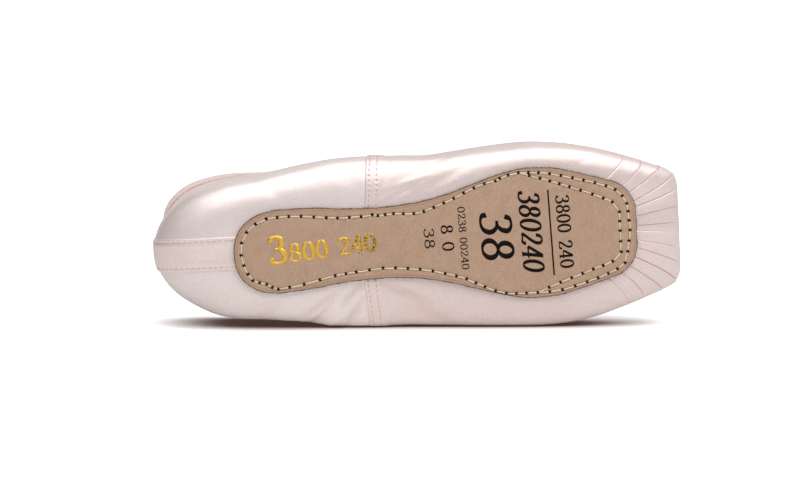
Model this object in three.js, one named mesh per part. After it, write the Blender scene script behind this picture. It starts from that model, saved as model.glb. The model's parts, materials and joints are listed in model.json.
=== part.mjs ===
// A demi-pointe ballet shoe (a soft-toed pointe shoe), empty and lying on its left side.
//
// The shoe is drawn in its own frame first: x runs from the back of the heel to the toe platform,
// y to the left, z up from the ground that its outsole would stand on. Everything is worked out on
// spokes: upright half-planes that fan round the heel, step along the waist and fan round the toe.
// On each spoke the last's outline gives how far out the upper reaches, and a small table gives how
// its wall climbs from the edge of the sole to the collar. The finished shoe is then laid down.
//
// Millimetres and degrees throughout. In the exported frame +Z is up, +X is the way the toe points,
// -Y is the way the outsole faces, and the origin is the middle of the box's underside.
import * as THREE from "three";

// ---- Driving sizes ----
const LENGTH = 238; // back of the heel to the flat of the toe platform
const WALL = 1.8; // satin, canvas lining and paste together
const GAP = 0.3; // clearance between pieces that meet
const OUTSOLE_THICK = 2.0;
const INSOLE_THICK = 1.6;
const INSOLE_BOTTOM = OUTSOLE_THICK + WALL + 2.8 * GAP; // above the satin turned in under it
const SOLE_LAP = 6; // how far the outsole laps over the satin that is turned in under it
const INSOLE_OVER = 2.5; // how far the insole reaches past the outsole's outline
const BINDING_THICK = 0.8;
const BINDING_DEPTH = 6; // how far the collar binding comes down each face of the wall
const TOE_SPRING = 3; // lift of the underside at the platform
const SPRING_START = 190; // the underside is flat up to here
const ARCH_LIFT = 1.2; // lift of the underside at the middle of the waist
const ARCH_START = 74;
const ARCH_END = 136;

// ---- The way it lies ----
const LEAN_BACK = 0.5; // the outsole faces this much above the horizon
const TOE_UP = 3.1; // the ball is wider than the waist, so the toe end rides up
const PRESS = 1.1; // how much of the ball's soft side flattens where it rests
const BALL = 170; // where the ball is widest

// ---- The spokes ----
const HEEL_HUB = 56; // spokes fan about this x behind it
const TOE_HUB = 150; // and about this one in front
const RING = { heel: 12, side: 19, toe: 15, corner: 4, platform: 4 }; // steps on each half
const LOWER_STEPS = 6; // rows from the sole's edge to the widest line
const UPPER_STEPS = 6; // rows from the top of the wall to the collar

// ---- Plan outlines, left half, from the heel's centre to the toe's centre ----
// Each heel is a superellipse. Half-widths along the sides follow by distance from the heel.
const UPPER_HEEL = { back: 0, joins: 46, half: 32.5, power: 2 };
const UPPER_SIDE = [
  { x: 46, half: 32.5 },
  { x: 58, half: 33.9 },
  { x: 70, half: 35.9 },
  { x: 82, half: 37.9 },
  { x: 96, half: 38.8 },
  { x: 112, half: 38.4 },
  { x: 124, half: 38.5 },
  { x: 136, half: 39.5 },
  { x: 152, half: 41.0 },
  { x: 170, half: 42.0 },
  { x: 184, half: 41.0 },
  { x: 196, half: 39.0 },
  { x: 208, half: 35.8 },
  { x: 220, half: 31.7 },
  { x: 232, half: 27.1 },
];
const PLATFORM_CORNER = { half: 24.8, ends: 18 }; // where the sides would meet it, and where its flat starts

const SOLE_HEEL = { back: 36.3, joins: 58, half: 18.6, power: 2.3 };
const SOLE_SIDE = [
  { x: 58, half: 18.6 },
  { x: 72, half: 17.9 },
  { x: 86, half: 16.4 },
  { x: 102, half: 15.9 },
  { x: 116, half: 16.8 },
  { x: 130, half: 19.4 },
  { x: 146, half: 24.2 },
  { x: 158, half: 27.6 },
  { x: 168, half: 29.2 },
  { x: 178, half: 28.8 },
  { x: 192, half: 25.6 },
  { x: 205, half: 21.8 },
];
const SOLE_CORNER = { x: 214.5, half: 19.2, endX: 216.7, endHalf: 9 };

// The collar is softer than the last, and its two sides aren't alike: the upper one springs open.
const COLLAR_HEEL = {
  left: { back: 3, joins: 56, half: 30.3, power: 2.5 },
  right: { back: 3, joins: 56, half: 33.0, power: 3.1 },
};
const COLLAR_SIDE = [
  { x: 56, left: 30.3, right: 33.0 },
  { x: 70, left: 31.6, right: 34.8 },
  { x: 86, left: 33.2, right: 35.6 },
  { x: 100, left: 33.0, right: 34.9 },
  { x: 114, left: 31.6, right: 32.0 },
  { x: 128, left: 28.4, right: 28.0 },
  { x: 140, left: 24.0, right: 24.0 },
  { x: 150, left: 20.0, right: 20.0 },
];
const THROAT_RADIUS = 20;

// The last is straight, for either foot. The shoe is sewn by hand, and lies on its soft left side,
// so the upper's widest line and the sole each drift this far to the right of the middle.
const DRIFT = [
  { x: 0, upper: 1.5, sole: -0.7 },
  { x: 16, upper: 1.7, sole: -0.7 },
  { x: 28, upper: 1.0, sole: -0.7 },
  { x: 45, upper: 1.1, sole: -0.7 },
  { x: 64, upper: 1.4, sole: 0.0 },
  { x: 80, upper: 0.8, sole: 0.6 },
  { x: 100, upper: 0.1, sole: 0.8 },
  { x: 112, upper: 0.0, sole: 0.9 },
  { x: 126, upper: -0.7, sole: 1.0 },
  { x: 160, upper: -0.5, sole: 1.4 },
  { x: 238, upper: -0.5, sole: 1.1 },
];

// ---- How the wall climbs ----
// spoke: 0 back of the heel, 1 heel hub, 2 toe hub, 3 centre of the platform.
// widest: height of the widest line. power: how square the turn from sole to wall is.
// wall: length of the upright stretch above it. collar: height of the collar's edge.
// lean: how far the wall leans in where it meets the collar. flare: how much less it does on the right.
// rise, reach: the upper bend's handles.
const CLIMB = [
  { spoke: 0.0, widest: 21, power: 2.4, wall: 4, collar: 53, lean: 14, flare: 0, rise: 0.4, reach: 0.3 },
  { spoke: 0.5, widest: 17, power: 2.2, wall: 7, collar: 51, lean: 6, flare: 40, rise: 0.4, reach: 0.3 },
  { spoke: 1.0, widest: 13, power: 2.1, wall: 12, collar: 45, lean: 1, flare: 18, rise: 0.4, reach: 0.3 },
  { spoke: 1.3, widest: 12, power: 2.1, wall: 14, collar: 40, lean: 5, flare: 0, rise: 0.35, reach: 0.3 },
  { spoke: 1.6, widest: 12, power: 2.1, wall: 14, collar: 39, lean: 20, flare: 0, rise: 0.4, reach: 0.35 },
  { spoke: 2.0, widest: 12, power: 2.1, wall: 13, collar: 44, lean: 58, flare: 0, rise: 0.55, reach: 0.45 },
  { spoke: 2.35, widest: 12, power: 2.1, wall: 13, collar: 46, lean: 76, flare: 0, rise: 0.6, reach: 0.5 },
  { spoke: 2.62, widest: 12, power: 2.2, wall: 12, collar: 46.5, lean: 80, flare: 0, rise: 0.55, reach: 0.55 },
  { spoke: 2.78, widest: 10.5, power: 2.5, wall: 13.5, collar: 46.5, lean: 81, flare: 0, rise: 0.42, reach: 0.6 },
  { spoke: 3.0, widest: 9.5, power: 2.8, wall: 15.5, collar: 46.5, lean: 81, flare: 0, rise: 0.38, reach: 0.62 },
];

// ---- Small helpers ----
const radians = THREE.MathUtils.degToRad;
const lerp = THREE.MathUtils.lerp;

// A smooth curve through one column of a table, by its key column.
function column(rows, key, name) {
  const at = rows.map((row) => row[key]);
  const value = rows.map((row) => row[name]);
  const last = rows.length - 1;
  const step = (i) => (value[i + 1] - value[i]) / (at[i + 1] - at[i]);
  const slope = value.map((_, i) => {
    if (i === 0) return step(0);
    if (i === last) return step(last - 1);
    return step(i - 1) * step(i) <= 0 ? 0 : (2 * step(i - 1) * step(i)) / (step(i - 1) + step(i));
  });
  return (x) => {
    const clamped = THREE.MathUtils.clamp(x, at[0], at[last]);
    let i = 0;
    while (i < last - 1 && clamped > at[i + 1]) i++;
    const width = at[i + 1] - at[i];
    const t = (clamped - at[i]) / width;
    const start = value[i] * (1 + 2 * t) * (1 - t) ** 2 + slope[i] * width * t * (1 - t) ** 2;
    const end = value[i + 1] * (3 - 2 * t) * t ** 2 + slope[i + 1] * width * (t - 1) * t ** 2;
    return start + end;
  };
}

// Lift of the underside: the arch and the toe spring.
function lift(x) {
  const arch = THREE.MathUtils.clamp((x - ARCH_START) / (ARCH_END - ARCH_START), 0, 1);
  const spring = Math.max(0, (x - SPRING_START) / (LENGTH - SPRING_START));
  return ARCH_LIFT * Math.sin(Math.PI * arch) ** 2 + TOE_SPRING * spring ** 2;
}

// ---- Outlines ----
// The quarter turn of a heel, from its back to where the side takes over.
function heelArc({ back, joins, half, power }, steps) {
  return Array.from({ length: steps + 1 }, (_, i) => {
    const turn = (Math.PI / 2) * (i / steps);
    const x = joins - (joins - back) * Math.cos(turn) ** (2 / power);
    return new THREE.Vector2(x, half * Math.sin(turn) ** (2 / power));
  });
}

function sideRun(rows, steps, name = "half") {
  const half = column(rows, "x", name);
  return Array.from({ length: steps + 1 }, (_, i) => {
    const x = lerp(rows[0].x, rows.at(-1).x, i / steps);
    return new THREE.Vector2(x, half(x));
  });
}

function cornerRun(start, corner, end, steps) {
  return new THREE.QuadraticBezierCurve(start, corner, end).getPoints(steps);
}

function straightRun(start, end, steps) {
  return new THREE.LineCurve(start, end).getPoints(steps);
}

// Joins runs that share their end points into one outline.
const chain = (...runs) => runs.flatMap((run, i) => (i ? run.slice(1) : run));

// One half of an outline, with its drift: a right half grows wider and a left half narrower.
function drifted(outline, name, isRight) {
  const drift = column(DRIFT, "x", name);
  for (const point of outline.slice(1, -1)) point.y += isRight ? drift(point.x) : -drift(point.x);
  return outline;
}

function upperOutline(isRight) {
  const sideEnd = new THREE.Vector2(UPPER_SIDE.at(-1).x, UPPER_SIDE.at(-1).half);
  const corner = new THREE.Vector2(LENGTH, PLATFORM_CORNER.half);
  const flat = new THREE.Vector2(LENGTH, PLATFORM_CORNER.ends);
  const outline = chain(
    heelArc(UPPER_HEEL, RING.heel),
    sideRun(UPPER_SIDE, RING.side + RING.toe),
    cornerRun(sideEnd, corner, flat, RING.corner),
    straightRun(flat, new THREE.Vector2(LENGTH, 0), RING.platform),
  );
  return drifted(outline, "upper", isRight);
}

function soleOutline(isRight) {
  const sideEnd = new THREE.Vector2(SOLE_SIDE.at(-1).x, SOLE_SIDE.at(-1).half);
  const corner = new THREE.Vector2(SOLE_CORNER.x, SOLE_CORNER.half);
  const flat = new THREE.Vector2(SOLE_CORNER.endX, SOLE_CORNER.endHalf);
  const outline = chain(
    heelArc(SOLE_HEEL, 12),
    sideRun(SOLE_SIDE, 30),
    cornerRun(sideEnd, corner, flat, 8),
    straightRun(flat, new THREE.Vector2(SOLE_CORNER.endX, 0), 3),
  );
  return drifted(outline, "sole", isRight);
}

function collarOutline(isRight) {
  const name = isRight ? "right" : "left";
  const sides = chain(heelArc(COLLAR_HEEL[name], 24), sideRun(COLLAR_SIDE, 24, name));
  const throat = Array.from({ length: 17 }, (_, i) => {
    const turn = (Math.PI / 2) * (1 - i / 16);
    return new THREE.Vector2(Math.cos(turn), Math.sin(turn))
      .multiplyScalar(THROAT_RADIUS)
      .add(new THREE.Vector2(TOE_HUB, 0));
  });
  return chain(sides, throat);
}

// Moves an outline out (or in, if negative) by a distance.
function offset(outline, distance) {
  return outline.map((point, i) => {
    const before = outline[Math.max(i - 1, 0)];
    const after = outline[Math.min(i + 1, outline.length - 1)];
    const along = after.clone().sub(before).normalize();
    if (i === 0) along.set(0, 1);
    if (i === outline.length - 1) along.set(0, -1);
    return new THREE.Vector2(point.x - along.y * distance, point.y + along.x * distance);
  });
}

// ---- Spokes ----
// One spoke for each point of the upper's outline: its hub, its direction, and its place in CLIMB.
function makeSpoke(point) {
  const hub = new THREE.Vector2(THREE.MathUtils.clamp(point.x, HEEL_HUB, TOE_HUB), 0);
  const out = point.clone().sub(hub);
  const turn = THREE.MathUtils.radToDeg(Math.atan2(out.y, out.x));
  let place = 1 + (hub.x - HEEL_HUB) / (TOE_HUB - HEEL_HUB);
  if (point.x < HEEL_HUB) place = (180 - turn) / 90;
  if (point.x > TOE_HUB) place = 2 + (90 - turn) / 90;
  return { hub, way: out.clone().normalize(), widest: out.length(), place };
}

// How far a spoke runs before it crosses an outline.
function reach(spoke, outline) {
  const across = new THREE.Vector2(-spoke.way.y, spoke.way.x);
  for (let i = 0; i + 1 < outline.length; i++) {
    const a = outline[i].clone().sub(spoke.hub);
    const b = outline[i + 1].clone().sub(spoke.hub);
    const sideA = a.dot(across);
    const sideB = b.dot(across);
    if (sideA * sideB > 1e-9) continue;
    const share = Math.abs(sideA - sideB) < 1e-9 ? 0 : sideA / (sideA - sideB);
    const far = a.lerp(b, share).dot(spoke.way);
    if (far > 0) return far;
  }
  throw new Error("a spoke misses an outline");
}

const climb = Object.fromEntries(
  ["widest", "power", "wall", "collar", "lean", "flare", "rise", "reach"].map((name) => [
    name,
    column(CLIMB, "spoke", name),
  ]),
);

// The wall on one spoke, as distance out and height, from under the outsole up to the collar.
function wallProfile(spoke, side) {
  const at = Object.fromEntries(Object.entries(climb).map(([name, f]) => [name, f(spoke.place)]));
  const base = OUTSOLE_THICK + GAP;
  const edge = reach(spoke, side.sole);
  const points = [new THREE.Vector2(reach(spoke, side.opening), base)];
  for (let i = 0; i <= LOWER_STEPS; i++) {
    const turn = (Math.PI / 2) * (i / LOWER_STEPS);
    const out = edge + (spoke.widest - edge) * Math.sin(turn) ** (2 / at.power);
    points.push(new THREE.Vector2(out, at.widest - (at.widest - base) * Math.cos(turn) ** (2 / at.power)));
  }
  const foot = new THREE.Vector2(spoke.widest, at.widest + at.wall);
  const top = new THREE.Vector2(reach(spoke, side.collar), at.collar);
  const slant = radians(at.lean - (side.isRight ? at.flare : 0));
  const lean = new THREE.Vector2(Math.sin(slant), -Math.cos(slant));
  const bend = new THREE.CubicBezierCurve(
    foot,
    foot.clone().add(new THREE.Vector2(0, at.rise * (top.y - foot.y))),
    top.clone().add(lean.multiplyScalar(at.reach * top.distanceTo(foot))),
    top,
  );
  return points.concat(bend.getPoints(UPPER_STEPS));
}

// A point of a spoke in the shoe's own frame. A right spoke mirrors its left one.
function place(spoke, isRight, out, height) {
  const x = spoke.hub.x + spoke.way.x * out;
  const y = spoke.way.y * out;
  return new THREE.Vector3(x, isRight ? -y : y, height + lift(x));
}

// ---- Laying the shoe down ----
const lie = new THREE.Matrix4().makeRotationFromEuler(
  new THREE.Euler(radians(-90 - LEAN_BACK), radians(-TOE_UP), 0, "YXZ"),
);
const stand = lie.clone().invert();

// Presses the points that would be under the floor flat against it.
function settle(points, floor) {
  for (const point of points) {
    point.applyMatrix4(lie);
    point.z = Math.max(point.z, floor);
    point.applyMatrix4(stand);
  }
}

// ---- Closed grids ----
// ring[i][j] is the point on spoke i, row j. Spokes close on themselves, and so do rows if asked.
function normals(ring) {
  const count = ring.length;
  return ring.map((points, i) =>
    points.map((_, j) => {
      const around = ring[(i + 1) % count][j].clone().sub(ring[(i + count - 1) % count][j]);
      const next = points[Math.min(j + 1, points.length - 1)];
      const up = next.clone().sub(points[Math.max(j - 1, 0)]);
      return up.cross(around).normalize();
    }),
  );
}

function shift(ring, facing, distance) {
  return ring.map((points, i) => points.map((p, j) => p.clone().addScaledVector(facing[i][j], distance)));
}

// A closed skin from a ring of closed loops, wound so that it faces out.
function skin(loops) {
  const wide = loops[0].length;
  const position = loops.flat().flatMap((p) => [p.x, p.y, p.z]);
  const index = [];
  loops.forEach((_, i) => {
    const here = i * wide;
    const there = ((i + 1) % loops.length) * wide;
    for (let j = 0; j < wide; j++) {
      const k = (j + 1) % wide;
      index.push(here + j, here + k, there + k, here + j, there + k, there + j);
    }
  });
  const geometry = new THREE.BufferGeometry();
  geometry.setAttribute("position", new THREE.Float32BufferAttribute(position, 3));
  geometry.setIndex(index);
  return geometry;
}

// ---- The pieces ----
function makeSide(isRight) {
  const sole = soleOutline(isRight);
  const side = { isRight, sole, opening: offset(sole, -SOLE_LAP), collar: collarOutline(isRight) };
  side.wall = upperOutline(isRight).map((point) => {
    const spoke = makeSpoke(point);
    return wallProfile(spoke, side).map((p) => place(spoke, isRight, p.x, p.y));
  });
  return side;
}

const left = makeSide(false);
const right = makeSide(true);
// The outer face: the left side from heel to toe, then the right side back to the heel.
const outer = left.wall.concat(right.wall.slice(1, -1).reverse());
const lowest = (points) => Math.min(...points.map((p) => p.clone().applyMatrix4(lie).z));
const floor = lowest(outer.flat().filter((p) => Math.abs(p.x - BALL) < 10)) + PRESS;

// The upper: outer and inner faces of one wall, open at the collar and under the foot.
function upperGeometry() {
  const facing = normals(outer);
  const inner = shift(outer, facing, -WALL);
  const pressed = outer.map((points) => points.map((p) => p.clone()));
  settle(pressed.flat(), floor);
  return skin(pressed.map((points, i) => points.concat(inner[i].toReversed())));
}

// The collar binding: a channel over the collar's edge, with a leg down each face of the wall.
function bindingGeometry() {
  const rows = [BINDING_DEPTH, BINDING_DEPTH / 2, 0];
  const strip = outer.map((points) => rows.map((down) => downFromEdge(points, down)));
  const facing = normals(strip);
  return skin(
    strip.map((points, i) => {
      const up = points[2].clone().sub(points[1]).normalize();
      const at = (row, out, above = 0) =>
        points[row].clone().addScaledVector(facing[i][row], out).addScaledVector(up, above);
      const outside = GAP + BINDING_THICK;
      const inside = -WALL - GAP;
      return [
        at(0, GAP),
        at(0, outside),
        at(1, outside),
        at(2, outside, GAP),
        at(2, GAP, outside),
        at(2, inside, outside),
        at(2, inside - BINDING_THICK, GAP),
        at(1, inside - BINDING_THICK),
        at(0, inside - BINDING_THICK),
        at(0, inside),
        at(1, inside),
        at(2, inside, GAP),
        at(2, GAP, GAP),
        at(1, GAP),
      ];
    }),
  );
}

// The point of a wall line that lies a given length below its collar edge.
function downFromEdge(points, down) {
  let left = down;
  for (let j = points.length - 1; j > 0; j--) {
    const length = points[j].distanceTo(points[j - 1]);
    if (left <= length) return points[j].clone().lerp(points[j - 1], left / length);
    left -= length;
  }
  return points[0].clone();
}

// A flat piece that follows the underside's lift: the outsole, or the insole a little larger.
function slabGeometry(over, bottom, thickness) {
  const rightEdge = offset(right.sole, over);
  const sections = offset(left.sole, over).map((l, i) => {
    const r = rightEdge[i];
    return [
      new THREE.Vector3(l.x, l.y, bottom + lift(l.x)),
      new THREE.Vector3(l.x, l.y, bottom + thickness + lift(l.x)),
      new THREE.Vector3(r.x, -r.y, bottom + thickness + lift(r.x)),
      new THREE.Vector3(r.x, -r.y, bottom + lift(r.x)),
    ];
  });
  return loft(sections.slice(1, -1)); // the first and last sections have no width
}

// A closed skin through open-ended sections, with a flat cap on each end.
function loft(sections) {
  const wide = sections[0].length;
  const position = sections.flat().flatMap((p) => [p.x, p.y, p.z]);
  const index = [];
  for (let i = 0; i + 1 < sections.length; i++) {
    for (let j = 0; j < wide; j++) {
      const a = i * wide + j;
      const b = i * wide + ((j + 1) % wide);
      index.push(a, b + wide, a + wide, a, b, b + wide);
    }
  }
  const end = (sections.length - 1) * wide;
  for (let j = 1; j + 1 < wide; j++) {
    index.push(0, j + 1, j);
    index.push(end, end + j, end + j + 1);
  }
  const geometry = new THREE.BufferGeometry();
  geometry.setAttribute("position", new THREE.Float32BufferAttribute(position, 3));
  geometry.setIndex(index);
  return geometry;
}

function piece(name, geometry, color, roughness) {
  const material = new THREE.MeshStandardMaterial({ color, roughness, metalness: 0 });
  const mesh = new THREE.Mesh(geometry, material);
  mesh.name = name;
  return mesh;
}

const shoe = new THREE.Group();
shoe.add(
  piece("upper", upperGeometry(), 0xe8d6d0, 0.35),
  piece("collar_binding", bindingGeometry(), 0xe6c9c0, 0.7),
  piece("outsole", slabGeometry(0, 0, OUTSOLE_THICK), 0xb08d74, 0.9),
  piece("insole", slabGeometry(INSOLE_OVER, INSOLE_BOTTOM, INSOLE_THICK), 0xe9dfd2, 0.85),
);
shoe.applyMatrix4(lie);
shoe.updateMatrixWorld(true);

const box = new THREE.Box3().setFromObject(shoe, true);
const middle = box.getCenter(new THREE.Vector3());
shoe.position.set(-middle.x, -middle.y, -box.min.z);

export default shoe;
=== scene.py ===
# %% [markdown]
# A demi-pointe ballet shoe, empty and lying on its side, so that its sewn outsole faces the viewer.
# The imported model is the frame: it gives the real sizes and where the shoe lies. Its pieces are then
# replaced by finer ones made of cloth, leather and thread, each inside the space that the solid holds.

# %% Load the frame
import json
import math
import bpy
import numpy as np
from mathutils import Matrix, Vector

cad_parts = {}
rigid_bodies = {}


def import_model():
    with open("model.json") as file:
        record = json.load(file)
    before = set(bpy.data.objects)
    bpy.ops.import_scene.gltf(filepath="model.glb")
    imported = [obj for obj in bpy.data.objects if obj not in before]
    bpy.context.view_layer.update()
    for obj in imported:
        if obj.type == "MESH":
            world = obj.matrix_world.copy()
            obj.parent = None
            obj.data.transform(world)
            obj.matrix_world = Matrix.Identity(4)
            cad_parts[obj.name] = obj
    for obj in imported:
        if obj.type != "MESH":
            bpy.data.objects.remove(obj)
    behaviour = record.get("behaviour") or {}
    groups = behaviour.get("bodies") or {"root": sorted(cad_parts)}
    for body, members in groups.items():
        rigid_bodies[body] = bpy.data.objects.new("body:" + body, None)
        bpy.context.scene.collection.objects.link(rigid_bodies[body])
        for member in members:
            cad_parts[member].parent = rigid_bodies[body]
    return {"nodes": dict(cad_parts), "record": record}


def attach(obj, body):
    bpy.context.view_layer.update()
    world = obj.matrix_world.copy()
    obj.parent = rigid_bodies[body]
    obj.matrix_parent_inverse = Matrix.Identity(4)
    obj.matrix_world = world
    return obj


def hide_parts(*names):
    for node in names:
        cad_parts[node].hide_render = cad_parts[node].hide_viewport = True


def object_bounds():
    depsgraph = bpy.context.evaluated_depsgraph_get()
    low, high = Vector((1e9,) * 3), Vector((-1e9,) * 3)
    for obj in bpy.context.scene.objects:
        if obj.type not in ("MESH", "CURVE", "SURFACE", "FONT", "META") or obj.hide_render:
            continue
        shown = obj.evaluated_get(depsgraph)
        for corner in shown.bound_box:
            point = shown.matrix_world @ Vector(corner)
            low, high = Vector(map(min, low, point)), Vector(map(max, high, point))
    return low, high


for spare in list(bpy.data.objects):
    bpy.data.objects.remove(spare)
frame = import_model()
cad_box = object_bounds()
rng = np.random.default_rng(7)
print("packed box", [round(a * 1000, 1) for a in (cad_box[1] - cad_box[0])], "mm")

# %% [markdown]
# A shoemaker measures a shoe from its heel, along its sole. The shoe's own frame does the same:
# x from the back of the heel to the toe, y to the left and z up from the ground it would stand on,
# in millimetres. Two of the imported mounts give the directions, so nothing here is fitted by eye.

# %% The shoe's own frame
mounts = {m["name"]: m for m in frame["record"]["mounts"]}
UP = -np.array(mounts["tread"]["axis"])
TOE = np.array(mounts["platform"]["axis"])
AXES = np.stack([TOE, np.cross(UP, TOE), UP])
corners = np.array([v.co for v in frame["nodes"]["upper"].data.vertices]) @ TOE * 1000
LENGTH = float(round(corners.max() - corners.min(), 1))
PLATFORM_MOUNT = np.array([LENGTH, 0, 20])
ORIGIN = np.array(mounts["platform"]["pos_m"]) * 1000 - PLATFORM_MOUNT @ AXES
SOFT_PRESS = 1.6  # how gently the cloth flattens where it meets the floor


def to_world(points, pressed):
    """Shoe millimetres to scene metres. Cloth that would be under the floor settles on it."""
    world = ORIGIN + np.asarray(points, float) @ AXES
    if pressed:
        z = world[..., 2]
        world[..., 2] = 0.5 * (z + np.sqrt(z * z + SOFT_PRESS**2))
    return world * 0.001


print("shoe length", LENGTH, "mm")

# %% [markdown]
# The last, the wooden foot that a shoe is made on, is described by short tables of half widths along
# its length. A smooth curve through each column gives every size in between.

# %% Tables and smooth curves


def table(names, *rows):
    values = np.array([[float(v) for v in row.split()] for row in rows])
    return dict(zip(names.split(), values.T))


def curve(at, value):
    """A smooth curve through points that never overshoots them."""
    at, value = np.asarray(at, float), np.asarray(value, float)
    step = np.diff(value) / np.diff(at)
    slope = np.empty_like(value)
    slope[0], slope[-1] = step[0], step[-1]
    a, b = step[:-1], step[1:]
    total = np.where(a + b == 0, 1, a + b)
    slope[1:-1] = np.where(a * b <= 0, 0, 2 * a * b / total)

    def value_at(x):
        x = np.clip(x, at[0], at[-1])
        i = np.clip(np.searchsorted(at, x, side="right") - 1, 0, len(at) - 2)
        wide = at[i + 1] - at[i]
        t = (x - at[i]) / wide
        start = value[i] * (1 + 2 * t) * (1 - t) ** 2 + slope[i] * wide * t * (1 - t) ** 2
        return start + value[i + 1] * (3 - 2 * t) * t**2 + slope[i + 1] * wide * (t - 1) * t**2

    return value_at


def smooth_step(x, start, end):
    t = np.clip((np.asarray(x, float) - start) / (end - start), 0, 1)
    return t * t * (3 - 2 * t)


def hump(x, width):
    return np.exp(-((np.asarray(x, float) / width) ** 2))


UPPER_SIDE = table(
    "x half",
    "46 32.5", "58 33.9", "70 35.9", "82 37.9", "96 38.8", "112 38.4", "124 38.5", "136 39.5",
    "152 41.0", "170 42.0", "184 41.0", "196 39.0", "208 35.8", "220 31.7", "232 27.1",
)
SOLE_SIDE = table(
    "x half",
    "58 18.6", "72 17.9", "86 16.4", "102 15.9", "116 16.8", "130 19.4",
    "146 24.2", "158 27.6", "168 29.2", "178 28.8", "192 25.6", "205 21.8",
)
COLLAR_HEEL = {"left": (3, 56, 30.3, 2.5), "right": (3, 56, 33.0, 3.1)}
COLLAR_SIDE = table(
    "x left right",
    "56 30.3 33.0", "70 31.6 34.8", "86 33.2 35.6", "100 33.0 34.9",
    "114 31.6 32.0", "128 28.4 28.0", "140 24.0 24.0", "150 20.0 20.0",
)
DRIFT = table(
    "x upper sole",
    "0 1.5 -0.7", "16 1.7 -0.7", "28 1.0 -0.7", "45 1.1 -0.7", "64 1.4 0.0", "80 0.8 0.6",
    "100 0.1 0.8", "112 0.0 0.9", "126 -0.7 1.0", "160 -0.5 1.4", "238 -0.5 1.1",
)
CLIMB = table(
    "spoke widest power wall collar lean flare rise reach",
    "0.0 21 2.4 4 53 14 0 0.4 0.3",
    "0.5 17 2.2 7 51 6 40 0.4 0.3",
    "1.0 13 2.1 12 45 1 18 0.4 0.3",
    "1.3 12 2.1 14 40 5 0 0.35 0.3",
    "1.6 12 2.1 14 39 20 0 0.4 0.35",
    "2.0 12 2.1 13 44 58 0 0.55 0.45",
    "2.35 12 2.1 13 46 76 0 0.6 0.5",
    "2.62 12 2.2 12 46.5 80 0 0.55 0.55",
    "2.78 10.5 2.5 13.5 46.5 81 0 0.42 0.6",
    "3.0 9.5 2.8 15.5 46.5 81 0 0.38 0.62",
)
HEEL_HUB, TOE_HUB = 56, 150
SOLE_THICK, SOLE_GAP, SOLE_LAP = 2.0, 0.3, 6.0


def lift(x):
    """How far the underside rises in the arch and at the toe."""
    arch = np.clip((x - 74) / 62, 0, 1)
    spring = np.clip((x - 190) / (LENGTH - 190), 0, None)
    return 1.2 * np.sin(np.pi * arch) ** 2 + 3 * spring**2


print("widths along the upper:", len(UPPER_SIDE["x"]), "and along the sole:", len(SOLE_SIDE["x"]))

# %% [markdown]
# Seen from below, the upper, the sole and the collar are three outlines, one inside the other. Each
# is a rounded heel, a run along the side and a toe. They could be drawn as Bezier curves by hand, but
# rows of points worked out from the tables keep all three to the same measures.

# %% Outlines


def heel_arc(back, joins, half, power, steps):
    turn = np.linspace(0, np.pi / 2, steps + 1)
    x = joins - (joins - back) * np.cos(turn) ** (2 / power)
    return np.stack([x, half * np.sin(turn) ** (2 / power)], 1)


def side_run(rows, steps, name="half"):
    x = np.linspace(rows["x"][0], rows["x"][-1], steps + 1)
    return np.stack([x, curve(rows["x"], rows[name])(x)], 1)


def corner_run(start, corner, end, steps):
    t = np.linspace(0, 1, steps + 1)[:, None]
    start, corner, end = map(np.array, (start, corner, end))
    return start * (1 - t) ** 2 + 2 * corner * t * (1 - t) + end * t**2


def chain(*runs):
    return np.concatenate([runs[0]] + [run[1:] for run in runs[1:]])


def drifted(outline, name, is_right):
    shift = curve(DRIFT["x"], DRIFT[name])(outline[:, 0]) * np.clip(outline[:, 1] / 4.3, 0, 1)
    outline[:, 1] += shift if is_right else -shift
    return outline


def even(outline, spacing):
    """The same outline with evenly spaced points, and how far along it each one is."""
    far = np.r_[0, np.cumsum(np.linalg.norm(np.diff(outline, axis=0), axis=1))]
    count = int(round(far[-1] / spacing))
    at = np.linspace(0, far[-1], count + 1)
    return np.stack([np.interp(at, far, c) for c in outline.T], 1), at


def upper_outline(is_right):
    run = chain(
        heel_arc(0, 46, 32.5, 2, 120),
        side_run(UPPER_SIDE, 400),
        corner_run((232, 27.1), (LENGTH, 24.8), (LENGTH, 18), 40),
        np.linspace((LENGTH, 18), (LENGTH, 0), 20),
    )
    return drifted(run, "upper", is_right)


def sole_outline(is_right):
    run = chain(
        heel_arc(36.3, 58, 18.6, 2.3, 80),
        side_run(SOLE_SIDE, 300),
        corner_run((205, 21.8), (214.5, 19.2), (216.7, 9), 40),
        np.linspace((216.7, 9), (216.7, 0), 12),
    )
    return drifted(run, "sole", is_right)


def collar_outline(is_right):
    turn = np.linspace(np.pi / 2, 0, 81)
    throat = np.stack([TOE_HUB + 20 * np.cos(turn), 20 * np.sin(turn)], 1)
    side = "right" if is_right else "left"
    return chain(heel_arc(*COLLAR_HEEL[side], 120), side_run(COLLAR_SIDE, 200, side), throat)


def inset(outline, distance):
    along = np.gradient(outline, axis=0)
    along[0], along[-1] = (0, 1), (0, -1)
    along /= np.linalg.norm(along, axis=1)[:, None]
    return outline + distance * np.stack([along[:, 1], -along[:, 0]], 1)


sole_edge = {side: sole_outline(side == "right") for side in ("left", "right")}
print("points along each side of the sole:", len(sole_edge["right"]))

# %% [markdown]
# The wall of the upper is worked out on spokes, upright slices that fan round the heel, step along
# the waist and fan round the toe. Each slice turns up out of the sole's edge, stands, and bends in to
# the collar. All the slices together are one closed surface, and a place on it has two numbers:
# t, how far round from the toe (millimetres, to the shoe's right and on round the heel), and
# s, from 0 at the sole's edge to 1 at the collar, with -1 at the end of the cloth turned in below.

# %% The wall as one surface
UNDER_ROWS, WALL_ROWS = 12, 200


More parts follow.
